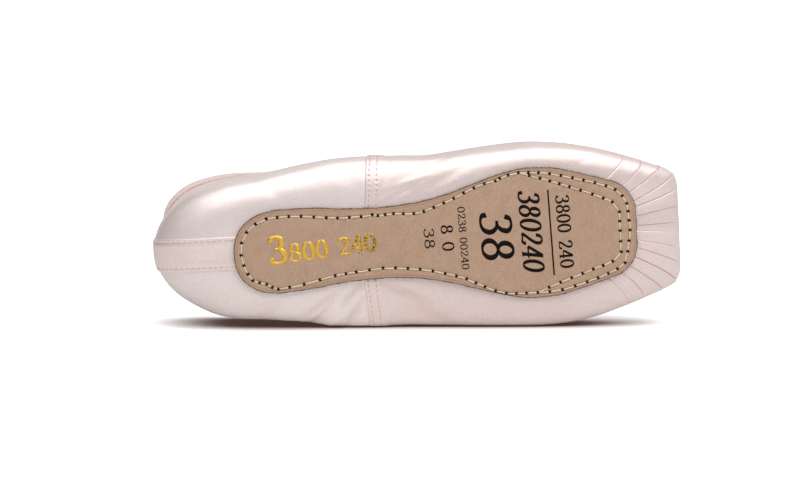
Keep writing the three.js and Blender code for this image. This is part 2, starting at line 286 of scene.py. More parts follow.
def crossing(hub, way, outline):
    """How far each spoke runs before it crosses an outline."""
    across = np.stack([-way[:, 1], way[:, 0]], 1)
    from_hub = outline[None] - hub[:, None]
    aside = np.einsum("nmk,nk->nm", from_hub, across)
    ahead = np.einsum("nmk,nk->nm", from_hub, way)
    a, b = aside[:, :-1], aside[:, 1:]
    gap = np.where(np.abs(a - b) < 1e-9, 1, a - b)
    far = ahead[:, :-1] + (ahead[:, 1:] - ahead[:, :-1]) * np.where(np.abs(a - b) < 1e-9, 0, a / gap)
    hit = (a * b <= 1e-9) & (far > 0)
    return far[np.arange(len(hub)), hit.argmax(1)]


def wall(is_right):
    """Points of one side of the upper, from the heel to the toe, and how far round each spoke is."""
    rim, at = even(upper_outline(is_right), 0.5)
    hub = np.stack([np.clip(rim[:, 0], HEEL_HUB, TOE_HUB), np.zeros(len(rim))], 1)
    out = rim - hub
    widest = np.linalg.norm(out, axis=1)
    way = out / widest[:, None]
    turn = np.degrees(np.arctan2(out[:, 1], out[:, 0]))
    spoke = 1 + (hub[:, 0] - HEEL_HUB) / (TOE_HUB - HEEL_HUB)
    spoke = np.where(rim[:, 0] < HEEL_HUB, (180 - turn) / 90, spoke)
    spoke = np.where(rim[:, 0] > TOE_HUB, 2 + (90 - turn) / 90, spoke)
    c = {name: curve(CLIMB["spoke"], column)(spoke) for name, column in CLIMB.items()}
    sole = sole_outline(is_right)
    edge = crossing(hub, way, sole)
    inner = crossing(hub, way, inset(sole, SOLE_LAP))
    top = crossing(hub, way, collar_outline(is_right))
    base = SOLE_THICK + SOLE_GAP
    bend = np.linspace(0, np.pi / 2, 60)[None]
    power = 2 / c["power"][:, None]
    low_out = edge[:, None] + (widest - edge)[:, None] * np.sin(bend) ** power
    low_up = c["widest"][:, None] - (c["widest"] - base)[:, None] * np.cos(bend) ** power
    foot = np.stack([widest, c["widest"] + c["wall"]], 1)
    end = np.stack([top, c["collar"]], 1)
    lean = np.radians(c["lean"] - (c["flare"] if is_right else 0))
    span = np.linalg.norm(end - foot, axis=1)
    first = foot + np.stack([np.zeros(len(foot)), c["rise"] * (end - foot)[:, 1]], 1)
    second = end + (c["reach"] * span)[:, None] * np.stack([np.sin(lean), -np.cos(lean)], 1)
    t = np.linspace(0, 1, 80)[None, :, None]
    high = (
        foot[:, None] * (1 - t) ** 3 + 3 * first[:, None] * t * (1 - t) ** 2
        + 3 * second[:, None] * t**2 * (1 - t) + end[:, None] * t**3
    )
    profile = np.concatenate([np.stack([low_out, low_up], 2), high], 1)
    rows = []
    for line in profile:
        far = np.r_[0, np.cumsum(np.linalg.norm(np.diff(line, axis=0), axis=1))]
        even_far = np.linspace(0, far[-1], WALL_ROWS + 1)
        rows.append([np.interp(even_far, far, line[:, 0]), np.interp(even_far, far, line[:, 1])])
    rows = np.array(rows)
    share = np.linspace(0, 1, UNDER_ROWS + 1)[:-1]
    under = inner[:, None] + (edge - inner)[:, None] * share
    reach_out = np.concatenate([under, rows[:, 0]], 1)
    height = np.concatenate([np.full_like(under, base), rows[:, 1]], 1)
    x = hub[:, :1] + way[:, :1] * reach_out
    y = way[:, 1:] * reach_out * (-1 if is_right else 1)
    return np.stack([x, y, height + lift(x)], 2), at, rim, c["widest"]


right_wall, right_at, right_rim, right_high = wall(True)
left_wall, left_at, left_rim, left_high = wall(False)
RIGHT_GIRTH, LEFT_GIRTH = right_at[-1], left_at[-1]
GIRTH = RIGHT_GIRTH + LEFT_GIRTH
RIGHT_STEPS, LEFT_STEPS = len(right_at) - 1, len(left_at) - 1
ring = np.concatenate([right_wall[::-1], left_wall[1:-1]])


def relaxed(grid):
    """Evens out the small kinks where one part of a slice takes over from the next."""
    for _ in range(12):
        around = (np.roll(grid, 1, 0) + np.roll(grid, -1, 0)) / 2
        grid = grid + 0.5 * (around - grid)
        middle = grid[:, UNDER_ROWS + 1 : -1]
        beside = (grid[:, UNDER_ROWS:-2] + grid[:, UNDER_ROWS + 2 :]) / 2
        grid[:, UNDER_ROWS + 1 : -1] = middle + 0.5 * (beside - middle)
    return grid


ring = relaxed(ring)
around = np.roll(ring, -1, 0) - np.roll(ring, 1, 0)
facing = np.cross(around, np.gradient(ring, axis=1))
facing /= np.linalg.norm(facing, axis=2)[..., None]
half_up = WALL_ROWS // 2
if np.sum((ring[:, half_up] - ring.mean((0, 1))) * facing[:, half_up]) < 0:
    facing = -facing
WALL_LENGTH = np.linalg.norm(np.diff(ring[:, UNDER_ROWS:], axis=1), axis=2).sum(1)
print("girth", round(GIRTH, 1), "mm, wall up to", round(WALL_LENGTH.max(), 1), "mm")


def ring_place(t):
    t = np.mod(np.asarray(t, float), GIRTH)
    right = t / RIGHT_GIRTH * RIGHT_STEPS
    left = RIGHT_STEPS + (t - RIGHT_GIRTH) / LEFT_GIRTH * LEFT_STEPS
    return np.where(t < RIGHT_GIRTH, right, left)


def blend_rows(values, t):
    """Reads a per-spoke value between spokes."""
    i = ring_place(t)
    low = np.floor(i).astype(int) % len(values)
    share = i - np.floor(i)
    return values[low] * (1 - share) + values[(low + 1) % len(values)] * share


def grids(*values):
    return np.broadcast_arrays(*[np.asarray(v, float) for v in values])


def surface(t, s, above=0.0):
    """A place on the upper, moved out along its facing. Past s = 1 it runs straight on."""
    t, s, above = grids(t, s, above)
    i = ring_place(t)
    row = np.where(s < 0, (s + 1) * UNDER_ROWS, UNDER_ROWS + s * WALL_ROWS)
    row = np.clip(row, 0, UNDER_ROWS + WALL_ROWS - 1e-6)
    a, j = np.floor(i).astype(int) % len(ring), np.floor(row).astype(int)
    b, k = (a + 1) % len(ring), j + 1
    u, v = (i - np.floor(i))[..., None], (row - j)[..., None]
    mix = lambda g: (g[a, j] * (1 - u) + g[b, j] * u) * (1 - v) + (g[a, k] * (1 - u) + g[b, k] * u) * v
    point, normal = mix(ring), mix(facing)
    normal /= np.linalg.norm(normal, axis=-1)[..., None]
    point = point + normal * above[..., None]
    past = np.clip(s - 1, 0, None)[..., None]
    along = ring[a, -1] - ring[a, -5]
    along /= np.linalg.norm(along, axis=-1)[..., None]
    return point + along * past * blend_rows(WALL_LENGTH, t)[..., None]


def stopped(t, s, short):
    """Ends a piece of cloth so many millimetres short of the collar's edge."""
    return s * np.where(s > 0, 1 - short / blend_rows(WALL_LENGTH, t), 1)


def height_share(t, millimetres):
    """The s that is so many millimetres up the wall from the sole's edge."""
    return np.asarray(millimetres, float) / blend_rows(WALL_LENGTH, t)


def t_at(side, x):
    """How far round the shoe a given distance from the heel is."""
    if side == "right":
        return RIGHT_GIRTH - np.interp(x, right_rim[:, 0], right_at)
    return -(LEFT_GIRTH - np.interp(x, left_rim[:, 0], left_at))


fan_right = np.degrees(np.arctan2(np.abs(right_rim[:, 1]), right_rim[:, 0] - TOE_HUB))
fan_left = np.degrees(np.arctan2(np.abs(left_rim[:, 1]), left_rim[:, 0] - TOE_HUB))


def t_at_fan(angle):
    """How far round a ray from the toe hub meets the rim, right of the middle positive."""
    angle = np.asarray(angle, float)
    right = RIGHT_GIRTH - np.interp(-np.abs(angle), -fan_right, right_at)
    left = -(LEFT_GIRTH - np.interp(-np.abs(angle), -fan_left, left_at))
    return np.where(angle >= 0, right, left)


# %% [markdown]
# Every piece of cloth is a grid of points. Cloth has two faces, so the grid is closed into a thin
# solid: out over the face, round the edge and back behind it. Numbers that vary over the cloth, such
# as how much painted shade a crease gets, are kept on the points as attributes, where a material can read
# them.

# %% Mesh helpers


def inside_out(mesh):
    """True for a closed mesh whose faces look inward: the volume they enclose comes out negative."""
    mesh.calc_loop_triangles()
    corners = np.empty(len(mesh.loop_triangles) * 3, np.int32)
    mesh.loop_triangles.foreach_get("vertices", corners)
    places = np.empty(len(mesh.vertices) * 3)
    mesh.vertices.foreach_get("co", places)
    a, b, c = places.reshape(-1, 3)[corners.reshape(-1, 3).T]
    return np.sum(a * np.cross(b, c)) < 0


def add_mesh(name, points, faces, material, slot, pressed=True, attributes=None):
    mesh = bpy.data.meshes.new(name)
    mesh.from_pydata(to_world(points, pressed).reshape(-1, 3).tolist(), [], faces)
    for key, values in (attributes or {}).items():
        layer = mesh.attributes.new(key, "FLOAT", "POINT")
        layer.data.foreach_set("value", np.asarray(values, np.float32).ravel())
    mesh.polygons.foreach_set("use_smooth", [True] * len(mesh.polygons))
    mesh.materials.append(material)
    mesh.validate()
    if inside_out(mesh):
        mesh.flip_normals()
    mesh.update()
    made = bpy.data.objects.new(name, mesh)
    bpy.context.scene.collection.objects.link(made)
    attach(made, "root")
    print(name, len(mesh.vertices), "points", len(mesh.polygons), "faces")
    return made


def grid_faces(rows, columns, wrap_rows=False, wrap_columns=False):
    """Quads of a grid of points stored row by row."""
    i = np.arange(rows if wrap_rows else rows - 1)[:, None]
    j = np.arange(columns if wrap_columns else columns - 1)[None]
    a = i * columns + j
    b = i * columns + (j + 1) % columns
    c = (i + 1) % rows * columns + (j + 1) % columns
    d = (i + 1) % rows * columns + j
    return np.stack([a, b, c, d], -1).reshape(-1, 4).tolist()


BACK_ROWS = 8  # the back of a sheet never shows, so it has fewer rows than the face


def cloth(name, t, s, above, thick, material, slot, attributes=None):
    """A thin closed sheet over part of the upper. t, s and above are grids, columns going round."""
    face = surface(t, s, above)
    rows, columns = t.shape
    pick = np.linspace(rows - 1, 0, BACK_ROWS).round().astype(int)
    back = surface(t[pick], s[pick], above[pick] - thick)
    points = np.concatenate([face, back])
    total = rows + BACK_ROWS
    faces = grid_faces(total, columns, wrap_rows=True)
    for column, flip in ((0, False), (columns - 1, True)):
        loop = [r * columns + column for r in range(total)]
        faces += end_faces(loop, rows, flip)
    values = {key: np.concatenate([grid, grid[pick]]) for key, grid in (attributes or {}).items()}
    return add_mesh(name, points, faces, material, slot, attributes=values)


def end_faces(loop, rows, flip):
    """Closes the open end of a sheet with triangles between its long face and its short back."""
    front, back = loop[:rows], loop[rows:][::-1]
    faces, i, j = [], 0, 0
    last_i, last_j = rows - 1, BACK_ROWS - 1
    while i < last_i or j < last_j:
        if j == last_j or (i < last_i and (i + 1) / last_i <= (j + 1) / last_j):
            faces.append([front[i], front[i + 1], back[j]])
            i += 1
        else:
            faces.append([front[i], back[j + 1], back[j]])
            j += 1
    return [f[::-1] for f in faces] if flip else faces


def tube(points, radius, sides, twist=0.0, plies=0, ply_depth=0.0):
    """Points and faces of a round cord along a path, closed at both ends."""
    points = np.asarray(points, float)
    along = np.gradient(points, axis=0)
    along /= np.linalg.norm(along, axis=1)[:, None]
    guide = np.array([0.0, 0.0, 1.0])
    side = np.cross(along, guide)
    side /= np.linalg.norm(side, axis=1)[:, None] + 1e-12
    other = np.cross(side, along)
    turn = np.linspace(0, 2 * np.pi, sides, endpoint=False)[None]
    spin = np.linspace(0, twist, len(points))[:, None]
    swell = 1 - ply_depth * (0.5 + 0.5 * np.cos(plies * (turn - spin))) if plies else 1
    r = np.broadcast_to(np.asarray(radius, float), (len(points),))[:, None] * swell
    skin = points[:, None] + (np.cos(turn) * r)[..., None] * side[:, None]
    skin = skin + (np.sin(turn) * r)[..., None] * other[:, None]
    faces = grid_faces(len(points), sides, wrap_columns=True)
    faces += [list(range(sides))[::-1], [(len(points) - 1) * sides + k for k in range(sides)]]
    return skin.reshape(-1, 3), faces


def join(parts):
    """Many small closed shapes as one mesh."""
    points, faces, start = [], [], 0
    for p, f in parts:
        points.append(p)
        faces += [[v + start for v in face] for face in f]
        start += len(p)
    return np.concatenate(points), faces


print("helpers ready")

# %% [markdown]
# Cloth and leather share a few effects: fine grain, soft changes of tone, and marks: painted shade in
# creases and holes, a burnished edge and a creased line. Each effect is a node group, a small recipe
# with named inputs and outputs. It is built once and placed in every material that needs it, with its
# own values. Groups give out colours and heights only, and the shader itself stays in the material.

# %% Node helpers


def place(tree, kind, sockets=None, **settings):
    """Adds a node, sets its options, and fills its inputs with numbers or with other nodes' outputs."""
    made = tree.nodes.new(kind)
    for key, value in settings.items():
        setattr(made, key, value)
    for key, value in (sockets or {}).items():
        if isinstance(value, bpy.types.NodeSocket):
            tree.links.new(value, made.inputs[key])
        else:
            made.inputs[key].default_value = value
    return made


def object_spot(tree):
    return place(tree, "ShaderNodeTexCoord").outputs["Object"]


def stored(tree, name):
    """A number kept on the mesh's points."""
    return place(tree, "ShaderNodeAttribute", attribute_name=name).outputs["Fac"]


def noise(tree, spot, scale, detail, **more):
    sockets = {"Vector": spot, "Scale": scale, "Detail": detail, **more}
    return place(tree, "ShaderNodeTexNoise", sockets).outputs[0]


def ranged(tree, value, low, high, to_low=0.0, to_high=1.0):
    return place(tree, "ShaderNodeMapRange", {
        "Value": value, "From Min": low, "From Max": high, "To Min": to_low, "To Max": to_high}).outputs[0]


def bumped(tree, height, strength, distance):
    """A normal for the shader that makes height look like relief."""
    return place(tree, "ShaderNodeBump", {
        "Height": height, "Strength": strength, "Distance": distance}).outputs[0]


def new_group(name, inputs, outputs):
    tree = bpy.data.node_groups.new(name, "ShaderNodeTree")
    for label, kind, value in inputs:
        made = tree.interface.new_socket(name=label, in_out="INPUT", socket_type="NodeSocket" + kind)
        if value is not None:
            made.default_value = value
    for label, kind in outputs:
        tree.interface.new_socket(name=label, in_out="OUTPUT", socket_type="NodeSocket" + kind)
    return tree, tree.nodes.new("NodeGroupInput"), tree.nodes.new("NodeGroupOutput")


def use_group(tree, group, values):
    return place(tree, "ShaderNodeGroup", values, node_tree=group)


def math_node(tree, operation, a, b, c=0.0, clamp=False):
    sockets = {0: a, 1: b, 2: c}
    return place(tree, "ShaderNodeMath", sockets, operation=operation, use_clamp=clamp).outputs[0]


def mix_colour(tree, share, a, b):
    return place(tree, "ShaderNodeMix", {0: share, 6: a, 7: b}, data_type="RGBA").outputs[2]


def colour(r, g, b):
    """A screen colour, 0 to 255, as the linear colour that nodes work in."""
    linear = [(v / 255 / 12.92) if v <= 10 else ((v / 255 + 0.055) / 1.055) ** 2.4 for v in (r, g, b)]
    return (*linear, 1.0)


# %% Shared effects
# Threads: fine streaks along the shoe, crossed by finer ones, over longer slubs in the yarn.
threads, gin, gout = new_group(
    "threads",
    [("Threads", "Float", 3200.0), ("Stretch", "Float", 9.0), ("Cross", "Float", 0.35),
     ("Slubs", "Float", 0.5)],
    [("Height", "Float"), ("Slub", "Float")],
)
spot = object_spot(threads)
squeeze = math_node(threads, "DIVIDE", 1.0, gin.outputs["Stretch"])
along = place(threads, "ShaderNodeCombineXYZ", {0: squeeze, 1: 1.0, 2: 1.0}).outputs[0]
along = place(threads, "ShaderNodeVectorMath", {0: spot, 1: along}, operation="MULTIPLY").outputs[0]
warp = noise(threads, along, gin.outputs["Threads"], 1.0)
weft = noise(threads, spot, gin.outputs["Threads"], 0.0)
fine = math_node(threads, "ADD", warp, math_node(threads, "MULTIPLY", weft, gin.outputs["Cross"]))
slub = noise(threads, along, math_node(threads, "MULTIPLY", gin.outputs["Threads"], 0.14), 2.0)
slubbed = math_node(threads, "MULTIPLY", slub, gin.outputs["Slubs"])
threads.links.new(math_node(threads, "ADD", fine, slubbed), gout.inputs["Height"])
threads.links.new(slub, gout.inputs["Slub"])

# Tone: two close colours that drift into each other over a few centimetres.
tone, gin, gout = new_group(
    "tone",
    [("Colour A", "Color", (1, 1, 1, 1)), ("Colour B", "Color", (0, 0, 0, 1)), ("Size", "Float", 30.0)],
    [("Colour", "Color")],
)
spot = object_spot(tone)
share = ranged(tone, noise(tone, spot, gin.outputs["Size"], 3.0), 0.3, 0.7)
drifting = mix_colour(tone, share, gin.outputs["Colour A"], gin.outputs["Colour B"])
tone.links.new(drifting, gout.inputs["Colour"])

# Mark: lays a colour where a number kept on the mesh says so, such as painted shade in a crease or a hole, or
# a dark burnished edge.
mark, gin, gout = new_group(
    "mark",
    [("Colour", "Color", (1, 1, 1, 1)), ("Mark Colour", "Color", (0, 0, 0, 1)), ("Mask", "Float", 0.0),
     ("Ragged", "Float", 0.0), ("Grain", "Float", 2500.0)],
    [("Colour", "Color"), ("Mask", "Float")],
)
spot = object_spot(mark)
grain = noise(mark, spot, gin.outputs["Grain"], 2.0)
shaken = math_node(mark, "MULTIPLY", math_node(mark, "SUBTRACT", grain, 0.5), gin.outputs["Ragged"])
masked = math_node(mark, "ADD", gin.outputs["Mask"], shaken, clamp=True)
masked = math_node(mark, "MULTIPLY", masked, ranged(mark, gin.outputs["Mask"], 0.0, 0.08))
marked = mix_colour(mark, masked, gin.outputs["Colour"], gin.outputs["Mark Colour"])
mark.links.new(marked, gout.inputs["Colour"])
mark.links.new(masked, gout.inputs["Mask"])

# Nap: the short matted fibres of split leather and felted board.
nap, gin, gout = new_group(
    "nap",
    [("Colour", "Color", (1, 1, 1, 1)), ("Deep Colour", "Color", (0, 0, 0, 1)), ("Fibres", "Float", 1800.0),
     ("Patches", "Float", 0.15)],
    [("Colour", "Color"), ("Height", "Float")],
)
spot = object_spot(nap)
fibre = noise(nap, spot, gin.outputs["Fibres"], 4.0, Roughness=0.7, Distortion=0.6)
patch = noise(nap, spot, math_node(nap, "MULTIPLY", gin.outputs["Fibres"], 0.07), 5.0)
mixed = mix_colour(nap, gin.outputs["Patches"], fibre, patch)
share = ranged(nap, mixed, 0.68, 0.32)
napped = mix_colour(nap, share, gin.outputs["Colour"], gin.outputs["Deep Colour"])
nap.links.new(napped, gout.inputs["Colour"])
nap.links.new(mixed, gout.inputs["Height"])
print("node groups:", [g.name for g in bpy.data.node_groups])

# %% [markdown]
# Satin is woven so that long threads float over the face. Light runs off them in a soft band across
# the threads, so the shader's highlight is stretched (anisotropic) and the threads' direction, along
# the shoe, is given as its tangent. A little sheen whitens it where the cloth turns away.

# %% Satin
THREAD_WAY = Vector(TOE) * 0.99 + Vector(UP) * 0.14


def new_material(name):
    made = bpy.data.materials.new(name)
    made.use_nodes = True
    made.node_tree.nodes.clear()
    return made, made.node_tree


def finish_material(tree, sockets):
    shader = place(tree, "ShaderNodeBsdfPrincipled", sockets)
    place(tree, "ShaderNodeOutputMaterial", {"Surface": shader.outputs[0]})


SATIN_GLOSS = 0.35  # satin mirrors more of its own colour than plain cloth does


def satin(name, light, deep, grain_and_shade_colour):
    made, tree = new_material(name)
    soft = use_group(tree, tone, {"Colour A": light, "Colour B": deep, "Size": 22.0})
    weave = use_group(tree, threads, {"Threads": 2400.0, "Stretch": 3.0, "Cross": 0.6, "Slubs": 0.15})
    grain = ranged(tree, weave.outputs["Height"], 0.75, 1.35, 0.0, 0.4)
    coloured = mix_colour(tree, grain, soft.outputs[0], grain_and_shade_colour)
    # painted shade: creases and wrinkle hollows are painted pinker, standing in for satin lit by satin in the
    # folds
    lined = use_group(tree, mark, {"Colour": coloured, "Mark Colour": grain_and_shade_colour,
                                   "Mask": math_node(tree, "MULTIPLY", stored(tree, "crease"), 0.8)})
    tangent = place(tree, "ShaderNodeCombineXYZ", {0: THREAD_WAY.x, 1: THREAD_WAY.y, 2: THREAD_WAY.z})
    finish_material(tree, {
        "Base Color": lined.outputs[0], "Normal": bumped(tree, weave.outputs["Height"], 0.4, 0.0001),
        "Roughness": ranged(tree, weave.outputs["Slub"], 0.3, 0.7, 0.33, 0.42),
        "Tangent": tangent.outputs[0], "Anisotropic": 0.5, "Metallic": SATIN_GLOSS, "Specular IOR Level": 0.6,
        "Sheen Weight": 0.15, "Sheen Roughness": 0.4, "Sheen Tint": (1.0, 0.93, 0.9, 1.0)})
    return made


# One satin in three copies: the quarters and the heel strip are painted whiter than the vamp, a painted
# highlight for how their threads catch the light
vamp_satin = satin("vamp_satin", colour(231, 217, 213), colour(226, 210, 205), colour(206, 160, 150))
quarter_satin = satin("quarter_satin", colour(236, 225, 222), colour(231, 219, 215), colour(212, 172, 163))
strip_satin = satin("strip_satin", colour(236, 223, 219), colour(231, 216, 211), colour(212, 166, 157))
print("satins:", vamp_satin.name, quarter_satin.name, strip_satin.name)

# %% [markdown]
# The vamp is the front of the upper, one piece of satin from side seam to side seam round the toe. It
# is drawn under the sole, and the cloth left over at the toe is laid in small knife pleats that fan
# out to the edge of the platform. A cloth simulation would fold it at random, so each pleat is placed
# one by one: where it starts at the sole, where it ends at the rim (degrees round the toe hub, the shoe's
# right positive), how deep it is, which way it folds, and how much of it is left at the rim.

# %% Pleats
PLEATS = table(
    "sole rim depth fold left",
    "23.3 28.8 0.30 1 0.2", "18.1 24.2 0.60 1 0.3", "14.6 19.4 1.00 1 0.6", "10.9 15.8 1.00 1 0.7",
    "8.6 11.4 0.90 1 0.1", "5.2 6.3 0.70 -1 0.05", "1.4 1.2 0.60 -1 0.05", "-0.6 -1.9 0.40 1 0.0",
    "-4.1 -6.8 0.60 1 0.05", "-7.1 -11.6 0.80 1 0.1", "-10.6 -16.7 1.00 1 0.7", "-14.4 -20.5 0.80 1 0.5",
    "-17.8 -25.7 0.60 1 0.3", "-21.6 -30.2 0.25 1 0.15",
)
PLEAT_HEIGHT = 0.62
fan_rim = np.r_[-75, -50, PLEATS["rim"][::-1], 50, 75]
fan_sole = np.r_[-75, -47, PLEATS["sole"][::-1], 47, 75]
pleat_t = t_at_fan(PLEATS["rim"])
rim_high = np.concatenate([right_high[::-1], left_high[1:-1]])


def fan_of_t(t):
    """The ray from the toe hub that a place on the rim lies on, or 180 behind the hub."""
    right = np.interp(t, RIGHT_GIRTH - right_at[::-1], fan_right[::-1])
    left = -np.interp(-t, LEFT_GIRTH - left_at[::-1], fan_left[::-1])
    return np.where(t >= 0, right, left)


height_of_ring = ring[..., 2] - lift(ring[..., 0])
rim_row = (height_of_ring[:, UNDER_ROWS:] >= rim_high[:, None]).argmax(1) / WALL_ROWS
for _ in range(30):
    rim_row = 0.5 * rim_row + 0.25 * (np.roll(rim_row, 1) + np.roll(rim_row, -1))


def rim_share(t):
    """The s of the widest line, where the sole's side of the upper turns up."""
    return blend_rows(rim_row, t)


def fanned(t, s):
    """Slides the columns of the vamp sideways towards the sole, so that each pleat runs along one."""
    share = np.clip(s / rim_share(t), 0, 1)
    angle = fan_of_t(t)
    low = np.where(np.abs(angle) < 75, np.interp(angle, fan_rim, fan_sole), angle)
    t_low = np.where(np.abs(angle) < 75, t_at_fan(low), t)
    return t_low + (t - t_low) * share


def pleats(t, s):
    """Height of the pleated cloth, and how deep in a crease each place is, the mask for the painted crease
    shade.
    """
    share = s / rim_share(t)
    height, crease = np.zeros(np.shape(t)), np.zeros(np.shape(t))
    for at, depth, fold, left in zip(pleat_t, PLEATS["depth"], PLEATS["fold"], PLEATS["left"]):
        beside = (t - at) * -fold * (0.62 + 0.38 * np.clip(share, 0, 1))
        fade = 1 - (1 - left) * smooth_step(share, 0.55, 0.97)
        fade = fade * (1 - smooth_step(share, 1.0, 1.35)) * smooth_step(share, -0.25, 0.12) * depth
        ridge = np.where(beside > 0, (1 - hump(beside, 0.22)) * np.exp(-np.abs(beside) / 2.3), 0)
        tucked = -0.3 * hump(beside, np.where(beside < 0, 0.7, 0.2)) - 0.45 * hump(beside, 0.16)
        height += PLEAT_HEIGHT * fade * (ridge + tucked)
        crease = np.maximum(crease, np.sqrt(fade) * hump(beside + 0.04, 0.17))
    return height, crease


print("pleats:", len(pleat_t), "over", round(float(np.ptp(pleat_t)), 1), "mm of the rim")

# %% [markdown]
# Satin pulled over a last by hand is never quite smooth. Its wrinkles are soft troughs, each a line on
# the cloth with a width and a depth. They are listed one by one, by side, distance from the heel and
# height up the wall, where the cloth is short or slack: beside the seams, under the sole's edge and at
# the heel. The same list feeds every piece that the wrinkle crosses.

# %% Troughs and ridges
# side (1 right, -1 left), from x and height, to x and height, width, depth (negative for a ridge)
TROUGHS = table(
    "side x0 h0 x1 h1 wide deep",
    "-1 91 2 76 12 1.8 1.0", "-1 86 4 74 14 1.6 -1.0", "-1 80 4 66 13 2.0 0.9",
    "-1 86 10 77 21 2.2 -1.1", "-1 78 9 68 20 1.8 1.0", "-1 92 9 85 22 1.8 1.2",
    "-1 58 2 44 14 3.0 0.45", "-1 50 4 36 10 2.6 0.35", "-1 66 8 54 20 3.5 -0.30",
    "-1 104 3 122 12 2.2 0.8", "-1 110 12 132 20 3.0 0.6", "-1 150 10 172 14 4.0 0.12",
    "1 100 2 122 9 2.0 0.40", "1 104 7 130 13 2.6 -0.25", "1 108 9 134 17 2.4 0.30",
    "1 118 4 142 9 2.4 0.28", "1 92 10 80 20 3.0 0.15", "1 60 4 48 14 3.2 0.22",
    "1 48 18 34 30 5.0 0.35", "1 70 20 58 34 4.5 0.18", "1 150 12 176 16 4.0 0.14",
    "-1 198 4 204 18 2.0 0.22", "-1 205 3 212 17 1.6 0.20", "1 196 4 202 16 1.8 0.18",
)


def troughs(t, s):
    """How far the wrinkles move the cloth in or out."""
    t, s = grids(t, s)
    high = s * blend_rows(WALL_LENGTH, t)
    around_t = (t + GIRTH / 2) % GIRTH - GIRTH / 2
    total = np.zeros(t.shape)
    for side, x0, h0, x1, h1, wide, deep in zip(*TROUGHS.values()):
        which = "right" if side > 0 else "left"
        a = np.array([float(t_at(which, x0)), h0])
        b = np.array([float(t_at(which, x1)), h1])
        way = b - a
        share = ((around_t - a[0]) * way[0] + (high - a[1]) * way[1]) / (way @ way)
        near = np.clip(share, 0, 1)
        off = np.hypot(around_t - a[0] - near * way[0], high - a[1] - near * way[1])
        total -= deep * hump(off, wide) * (0.35 + 0.65 * np.sin(np.pi * np.clip(near, 0.05, 0.95)))
    return total


def wrinkle_shade(lift_at):
    """How much painted shade a wrinkle gets: its hollow is painted pinker, as satin lit by satin."""
    return np.clip(-lift_at / 2.4, 0, 0.45)


print("troughs and ridges:", len(TROUGHS["side"]))

# %% [markdown]
# Each side seam is lapped: the vamp's edge is turned under and sewn over the quarter with two rows of
# small stitches. The turned edge is the one that catches the light, so it gets a rounded fold, and
# the cloth dips where the thread pulls it down.

# %% Side seams
SEAM = {"right": (95.4, 4.6), "left": (93.4, 4.2)}  # x at the sole's edge, and how far it leans
SEAM_ROWS = (1.6, 5.0)
SEAM_PITCH = 2.3
FOLD_HIGH = 0.55


def seam_t(side, s):
    at, lean = SEAM[side]
    return t_at(side, at + lean * np.clip(s, 0, 1))


SEAM_RIGHT, SEAM_LEFT = float(seam_t("right", 0)), float(seam_t("left", 0))


def to_seam(t, s):
    """How far a place on the vamp is from its nearer folded edge."""
    return np.minimum(seam_t("right", s) - t, t - seam_t("left", s))


def seam_lift(beyond, high):
    """The lapped edge's own thickness, its turned-in layer and the dips along the stitches."""
    fold = FOLD_HIGH * np.sqrt(np.clip(1 - (1 - np.clip(beyond / 0.55, 0, 1)) ** 2, 0, 1))
    layers = fold * (1 - 0.75 * smooth_step(beyond, 6.2, 8.4))
    pull = sum(hump(beyond - row, 0.55) for row in SEAM_ROWS)
    between = 0.5 + 0.5 * np.cos(2 * np.pi * high / SEAM_PITCH)
    return layers - pull * (0.16 + 0.16 * between)


def vamp_lift(t, s):
    """Everything that lifts the vamp's face off the last."""
    high = s * blend_rows(WALL_LENGTH, t)
    folded, crease = pleats(t, s)
    wrinkles = troughs(t, s)
    return folded + wrinkles + seam_lift(to_seam(t, s), high), np.maximum(crease, wrinkle_shade(wrinkles))


# %% Vamp
# the columns of the grid crowd together at the pleats and the seams, and leave gaps elsewhere
beside_pleat = np.array([
    -2.6, -1.7, -1.1, -0.7, -0.42, -0.24, -0.12, -0.03, 0.05, 0.14, 0.26, 0.45, 0.75, 1.2, 1.8])
beside_seam = np.array([
    0, 0.06, 0.16, 0.3, 0.5, 0.8, 1.1, 1.35, 1.6, 1.85, 2.1, 2.6, 3.3, 4.2, 4.6, 5.0, 5.4, 6, 6.8, 7.6, 8.6])
near_pleats = (pleat_t[:, None] + beside_pleat[None]).ravel()
must = np.concatenate([near_pleats, SEAM_LEFT + beside_seam, SEAM_RIGHT - beside_seam])
columns = np.concatenate([must, np.arange(SEAM_LEFT + 9.6, SEAM_RIGHT - 9, 1.0)])
columns = np.unique(columns.round(3))
columns = columns[np.r_[True, np.diff(columns) > 0.045]]
plain = ~np.isin(columns, must.round(3))
close = np.diff(columns) < 0.45
columns = columns[~(plain & (np.r_[False, close] | np.r_[close, False]))]
rows = np.unique(np.concatenate([
    np.linspace(-0.9, 0, 7), np.linspace(0, 0.32, 44), np.linspace(0.32, 1, 62)]).round(4))


def sprung(t):
    """1 where the collar springs open, on the heel's right side, and 0 elsewhere."""
    to_heel = RIGHT_GIRTH - np.mod(t, GIRTH)
    return np.where(to_heel > 0, smooth_step(to_heel, 2, 24) * (1 - smooth_step(to_heel, 30, 84)), 0)


def satin_stop(t):
    """The satin stops this far below the collar's edge, under the binding."""
    return 0.6 + 0.75 * sprung(t)


t_grid, s_grid = np.meshgrid(columns, rows)
s_grid = stopped(t_grid, s_grid, satin_stop(t_grid))
lean_right = seam_t("right", s_grid) - SEAM_RIGHT
lean_left = seam_t("left", s_grid) - SEAM_LEFT
near_right = 1 - smooth_step(SEAM_RIGHT - t_grid, 10, 70)
near_left = 1 - smooth_step(t_grid - SEAM_LEFT, 10, 70)
t_lean = t_grid + lean_right * near_right + lean_left * near_left
